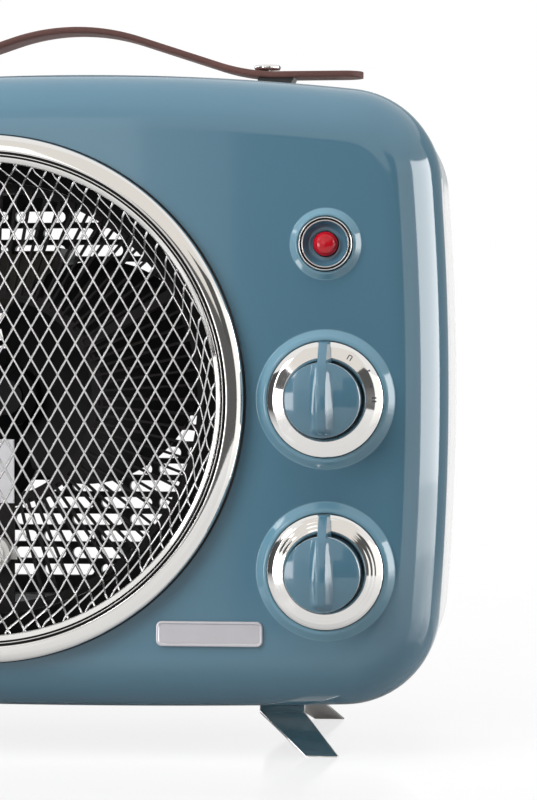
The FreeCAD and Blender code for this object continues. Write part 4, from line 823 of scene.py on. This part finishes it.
def strap_middle(x):
    """The height of the strap's middle line at a distance from the middle of the case."""
    slope = math.radians(18.3)
    rise, crown, foot = 17.1, 76.0, 70.0
    straight = (rise - (crown + foot) * (1 - math.cos(slope))) / math.sin(slope)
    reach = abs(x)
    crown_end = crown * math.sin(slope)
    foot_start = crown_end + straight * math.cos(slope)
    foot_end = foot_start + foot * math.sin(slope)
    middle = strap_base + strap_sheet / 2
    if reach <= crown_end:
        return middle + rise - crown + math.sqrt(crown ** 2 - reach ** 2)
    if reach <= foot_start:
        return middle + rise - crown * (1 - math.cos(slope)) - (reach - crown_end) * math.tan(slope)
    if reach <= foot_end:
        return middle + foot - math.sqrt(foot ** 2 - (foot_end - reach) ** 2)
    return middle


def strap_piece():
    """The strap as a rounded ribbon with its ends rounded in plan."""
    half_width, end, end_round = 8.0, 106.0, 7.0
    start = end - end_round
    tail = [start + end_round * math.sin(math.radians(angle)) for angle in (0, 15, 30, 45, 60, 72, 82, 88)]
    stations = [-x for x in reversed(tail)] + [x * 2.0 for x in range(-49, 50)] + tail
    lower = [(-1.0, -0.35), (-0.985, -0.75), (-0.95, -0.97), (-0.5, -1.0), (0.0, -1.0), (0.5, -1.0),
             (0.95, -0.97), (0.985, -0.75), (1.0, -0.35)]
    section = lower + [(across, -up) for across, up in reversed(lower)]
    bm = bmesh.new()
    rows = []
    for x in stations:
        past = max(abs(x) - start, 0.0)
        width = half_width - end_round + math.sqrt(max(end_round ** 2 - past ** 2, 0.0))
        tilt = math.atan(strap_middle(x + 0.5) - strap_middle(x - 0.5))
        row = []
        for across, up in section:
            lift = up * strap_sheet / 2
            row.append(bm.verts.new(place(x - lift * math.sin(tilt), strap_depth + across * width,
                                          strap_middle(x) + lift * math.cos(tilt))))
        rows.append(row)
    skin(bm, rows, capped=True)
    return finished(bm, "leather_strap", 60)


def leather(name, colour):
    """Smooth leather: fine pebbles and a drift to darker tones."""
    surface = material(name, colour, 0.55, shade=0.28, spread=0.08, grain=2, gleam=0.12)
    nodes = surface.node_tree.nodes
    links = surface.node_tree.links
    pebbles = nodes.new("ShaderNodeTexVoronoi")
    pebbles.inputs["Scale"].default_value = 1400
    bump = nodes.new("ShaderNodeBump")
    bump.inputs["Distance"].default_value = 0.05 * mm
    bump.inputs["Strength"].default_value = 0.5
    links.new(nodes["Texture Coordinate"].outputs["Object"], pebbles.inputs["Vector"])
    links.new(pebbles.outputs["Distance"], bump.inputs["Height"])
    links.new(bump.outputs["Normal"], nodes["Principled BSDF"].inputs["Normal"])
    return surface


brown_leather = leather("brown_leather", (0.105, 0.052, 0.046))
dress(strap_piece(), "case", brown_leather, "leather_brown", "carry_strap")

# Strap studs and seats: turned chromed studs, screwed through the strap into nuts inside the case,
# and black moulded seats that hold the strap off the case; their black also stands in for the shade under
# the strap.
stud_x = 70.6
stud_path = [(0.0, 234.5, 0), (2.0, 234.5, 0.1), (2.0, 247.3, 0), (1.3, 247.45, 0.1), (1.3, 248.25, 0.1),
             (4.4, 248.33, 0.3), (4.9, 248.9, 0.3), (4.9, 249.7, 0.3), (4.4, 250.2, 0.3), (0.0, 250.23, 0)]
bm = bmesh.new()
for x in (-stud_x, stud_x):
    loops = []
    for radius, height in eased(stud_path):
        outline = circle(x, strap_depth, max(radius, 0.001), 48)
        loops.append([bm.verts.new(place(across, depth, height)) for across, depth in outline])
    skin(bm, loops)
dress(finished(bm, "strap_studs_chrome", 40), "case", chrome, "chrome", "strap_studs")
# Partly painted shade: the seats are black, which also stands in for the shade under the strap.
coat_nodes(black_moulding, "strap_seats")

# Feet: chromed steel strip, bent to a flange under the case and a leg that splays out, forward or back.
# A screw goes up through each flange into the rear shell.
foot_chrome = material("foot_chrome", (0.80, 0.79, 0.77), 0.08, metallic=1.0, shade=0.02, spread=0.03,
                       grain=8, relief=0.3)


def foot_piece(name, side, bend, toe, inset, top):
    """One foot as a bent strip: a flange under the case, a short neck, and a leg splayed to its toe."""
    sheet, flange, knee, ease, edge_round = 1.5, 16.0, 14.4, 0.8, 0.6
    knee_inner, knee_outer, toe_inner, toe_outer = 70.0, 86.5, 88.2, 100.3
    inward = math.copysign(1, bend - toe)
    knee_depth = bend - inward
    path = eased([(bend + inward * flange, top, 0), (bend + inward, top, ease), (knee_depth, knee, ease),
                  (toe, 0, 0)])
    floor_sheet = sheet * math.hypot(knee_depth - toe, knee) / knee
    bm = bmesh.new()
    rows = []
    for index, (depth, z) in enumerate(path):
        before = Vector(path[max(index - 1, 0)])
        after = Vector(path[min(index + 1, len(path) - 1)])
        along = (after - before).normalized()
        under = (depth - inward * along.y * sheet, z + inward * along.x * sheet)
        if index == len(path) - 1:
            under = (toe + inward * floor_sheet, 0)
        share = 1 - min(z / knee, 1.0)
        edges = (knee_inner + (toe_inner - knee_inner) * share,
                 knee_outer + (toe_outer - knee_outer) * share)
        upper = [bm.verts.new(place(side * (edge - inset), depth, z)) for edge in edges]
        lower = [bm.verts.new(place(side * (edge - inset), *under)) for edge in edges]
        rows.append([upper[0], upper[1], lower[1], lower[0]])
    skin(bm, rows, capped=True)
    piece = finished(bm, name, 35)
    rounding = piece.modifiers.new("eased_edges", "BEVEL")
    rounding.width = edge_round * mm
    rounding.use_clamp_overlap = False
    rounding.segments = 3
    rounding.limit_method = "ANGLE"
    rounding.angle_limit = math.radians(50)
    return piece


for end, bend, toe, inset in (("front", 31.5, 14.0, 0.0), ("rear", 107.0, 122.0, 6.0)):
    for hand, side in (("left", -1), ("right", 1)):
        node = "foot_" + end + "_" + hand
        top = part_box(node)[1][2] / mm
        foot = foot_piece(node + "_chrome", side, bend, toe, inset, top)
        dress(foot, "case", foot_chrome, "chrome", node)

# Studio: a white floor that fades into the white behind, soft lamps at the upper left, the right,
# above and behind, and curved cards that only the gloss shows: a softbox and a white wall at the right,
# windows at the left, a dark room in front under a cream ceiling, and grey flags behind.
scene = bpy.context.scene
scene.view_settings.view_transform = "Standard"


def reflection_card(name, start, end, low, high, distance, strength, colour=(1.0, 1.0, 1.0)):
    """A curved card between two bearings in degrees from straight in front, positive to the right."""
    steps = 16
    points = []
    for step in range(steps + 1):
        turn = math.radians(start + (end - start) * step / steps)
        for height in (low, high):
            points.append((distance * math.sin(turn), -distance * math.cos(turn), height))
    faces = [(2 * step, 2 * step + 2, 2 * step + 3, 2 * step + 1) for step in range(steps)]
    mesh = bpy.data.meshes.new(name)
    mesh.from_pydata(points, [], faces)
    surface = bpy.data.materials.new(name)
    surface.use_nodes = True
    nodes = surface.node_tree.nodes
    nodes.clear()
    glow = nodes.new("ShaderNodeEmission")
    glow.inputs["Color"].default_value = colour + (1,)
    glow.inputs["Strength"].default_value = strength
    output = nodes.new("ShaderNodeOutputMaterial")
    surface.node_tree.links.new(glow.outputs["Emission"], output.inputs["Surface"])
    mesh.materials.append(surface)
    card = bpy.data.objects.new(name, mesh)
    card.visible_camera = False
    card.visible_diffuse = False
    card.visible_transmission = False
    card.visible_shadow = False
    scene.collection.objects.link(card)


for part, low, high, strength in (("top", -0.02, 0.75, 7.0), ("middle", -0.12, -0.02, 5.0),
                                  ("low", -0.25, -0.12, 3.4), ("skirt", -0.5, -0.25, 2.0)):
    reflection_card("softbox_" + part, 63, 111, low, high, 1.6, strength)
cool_grey = (0.9, 1.0, 1.05)
reflection_card("white_wall_right", 32, 63, -0.5, 0.75, 1.7, 1.25, (1.0, 0.99, 0.97))
reflection_card("strip_left", -132, -78, -0.1, 0.9, 1.5, 5.0)
reflection_card("window_left", -43, -29, -0.2, 1.2, 1.9, 6.0, (1.0, 0.98, 1.0))
reflection_card("window_front_left", -14, -7.5, 0.25, 1.2, 2.4, 1.5)
reflection_card("grey_wall_left", -29, -5, -0.8, 1.8, 2.7, 0.7, (1.0, 0.98, 0.96))
reflection_card("dark_front", -5, 32, -0.2, 0.5, 2.5, 0.12)
reflection_card("dark_frame_right", 18, 32, 0.4, 0.95, 2.3, 0.1)
reflection_card("dark_frame_left", -39, -29, 0.3, 0.75, 1.7, 0.1)
reflection_card("cream_ceiling", -29, 32, 0.5, 2.6, 2.6, 0.9, (1.0, 0.96, 0.91))
reflection_card("flag_left", -88, -43, -0.8, 1.0, 2.1, 0.08, (1.0, 1.0, 1.05))
reflection_card("flag_behind_right", 111, 160, -0.8, 1.3, 1.9, 0.36, cool_grey)
reflection_card("flag_behind_top", 160, 195, 0.33, 1.4, 1.9, 0.45, cool_grey)
reflection_card("flag_behind_left", -165, -132, -0.8, 1.3, 1.9, 0.3, cool_grey)


def floor_material():
    """White floor: soft shade and a faint mirror near the feet, fading out to the white behind."""
    camera_share, gloss_share = 0.72, 0.65
    case_edge, open_start = 0.075, 0.12
    fade_start, fade_end = 0.22, 0.75
    surface = bpy.data.materials.new("studio_floor")
    surface.use_nodes = True
    nodes = surface.node_tree.nodes
    links = surface.node_tree.links
    shader = nodes["Principled BSDF"]
    shader.inputs["Roughness"].default_value = 0.1
    rays = nodes.new("ShaderNodeLightPath")
    tone = nodes.new("ShaderNodeMix")
    tone.data_type = "RGBA"
    tone.inputs["A"].default_value = (0.5, 0.5, 0.5, 1)
    tone.inputs["B"].default_value = (0.95, 0.95, 0.95, 1)
    links.new(rays.outputs["Is Camera Ray"], tone.inputs["Factor"])
    links.new(tone.outputs["Result"], shader.inputs["Base Color"])
    shown = nodes.new("ShaderNodeMath")
    shown.operation = "MULTIPLY"
    shown.inputs[1].default_value = camera_share
    links.new(rays.outputs["Is Camera Ray"], shown.inputs[0])
    where = nodes.new("ShaderNodeTexCoord")
    split = nodes.new("ShaderNodeSeparateXYZ")
    links.new(where.outputs["Object"], split.inputs["Vector"])
    beside = nodes.new("ShaderNodeMath")
    beside.operation = "ABSOLUTE"
    links.new(split.outputs["Y"], beside.inputs[0])
    open_floor = nodes.new("ShaderNodeMapRange")
    open_floor.inputs["From Min"].default_value = case_edge
    open_floor.inputs["From Max"].default_value = open_start
    open_floor.inputs["To Max"].default_value = gloss_share
    links.new(beside.outputs["Value"], open_floor.inputs["Value"])
    seen = nodes.new("ShaderNodeMath")
    seen.operation = "MULTIPLY_ADD"
    links.new(rays.outputs["Is Glossy Ray"], seen.inputs[0])
    links.new(open_floor.outputs["Result"], seen.inputs[1])
    links.new(shown.outputs["Value"], seen.inputs[2])
    glow = nodes.new("ShaderNodeEmission")
    glow.inputs["Strength"].default_value = 1.0
    lit = nodes.new("ShaderNodeMixShader")
    links.new(seen.outputs["Value"], lit.inputs["Fac"])
    links.new(shader.outputs["BSDF"], lit.inputs[1])
    links.new(glow.outputs["Emission"], lit.inputs[2])
    reach = nodes.new("ShaderNodeVectorMath")
    reach.operation = "LENGTH"
    links.new(where.outputs["Object"], reach.inputs[0])
    fade = nodes.new("ShaderNodeMapRange")
    fade.inputs["From Min"].default_value = fade_start
    fade.inputs["From Max"].default_value = fade_end
    links.new(reach.outputs["Value"], fade.inputs["Value"])
    clear = nodes.new("ShaderNodeBsdfTransparent")
    faded = nodes.new("ShaderNodeMixShader")
    links.new(fade.outputs["Result"], faded.inputs["Fac"])
    links.new(lit.outputs["Shader"], faded.inputs[1])
    links.new(clear.outputs["BSDF"], faded.inputs[2])
    links.new(faded.outputs["Shader"], nodes["Material Output"].inputs["Surface"])
    return surface


floor_half = 1.5
floor_corners = [(x * floor_half, y * floor_half, 0) for x, y in ((-1, -1), (1, -1), (1, 1), (-1, 1))]
floor_mesh = bpy.data.meshes.new("floor")
floor_mesh.from_pydata(floor_corners, [], [(0, 1, 2, 3)])
floor = bpy.data.objects.new("floor", floor_mesh)
scene.collection.objects.link(floor)
floor_mesh.materials.append(floor_material())


def area_lamp(name, location, target, size, energy):
    """A soft square lamp aimed at a point, which the gloss doesn't show."""
    data = bpy.data.lights.new(name, "AREA")
    data.size = size
    data.energy = energy
    lamp = bpy.data.objects.new(name, data)
    lamp.location = location
    lamp.rotation_euler = (Vector(target) - Vector(location)).to_track_quat("-Z", "Y").to_euler()
    lamp.visible_glossy = False
    scene.collection.objects.link(lamp)


area_lamp("key_upper_left", (-0.45, -0.6, 0.5), (0, 0, 0.13), 0.5, 5.5)
area_lamp("side_right", (1.0, 0.1, 0.35), (0.1, 0.05, 0.13), 0.6, 4.5)
area_lamp("top_fill", (0.0, -0.35, 1.1), (0, 0, 0.1), 0.8, 7)
area_lamp("back_fill", (-0.5, 1.2, 0.7), (0, 0.05, 0.13), 0.8, 7)

world = bpy.data.worlds.new("studio_white")
scene.world = world
world.use_nodes = True
world_nodes = world.node_tree.nodes
world_links = world.node_tree.links
sky = world_nodes["Background"]
sky.inputs["Color"].default_value = (1, 1, 1, 1)
rays = world_nodes.new("ShaderNodeLightPath")
direct = world_nodes.new("ShaderNodeMath")
direct.operation = "MAXIMUM"
world_links.new(rays.outputs["Is Camera Ray"], direct.inputs[0])
world_links.new(rays.outputs["Is Glossy Ray"], direct.inputs[1])
shown = world_nodes.new("ShaderNodeMath")
shown.operation = "MAXIMUM"
world_links.new(direct.outputs["Value"], shown.inputs[0])
world_links.new(rays.outputs["Is Transmission Ray"], shown.inputs[1])
ambient = 0.2
level = world_nodes.new("ShaderNodeMapRange")
level.inputs["To Min"].default_value = ambient
level.inputs["To Max"].default_value = 1.0
world_links.new(shown.outputs["Value"], level.inputs["Value"])
world_links.new(level.outputs["Result"], sky.inputs["Strength"])

# Camera: a metre in front of the panel and a little right of the controls, turned to the left.
# Its focal length is given in pixels of a picture 800 pixels high.
sensor, picture_height, focal_pixels = 36, 800, 2862
camera_data = bpy.data.cameras.new("camera")
camera_data.sensor_width = sensor
camera_data.lens = focal_pixels * sensor / picture_height
camera = bpy.data.objects.new("camera", camera_data)
camera.location = place(179.8, -1000.0, 145.3)
yaw = math.radians(5.9)
pitch = math.radians(-1.01)
aim = Vector((-math.sin(yaw) * math.cos(pitch), math.cos(yaw) * math.cos(pitch), math.sin(pitch)))
camera.rotation_euler = aim.to_track_quat("-Z", "Y").to_euler()
scene.collection.objects.link(camera)
scene.camera = camera
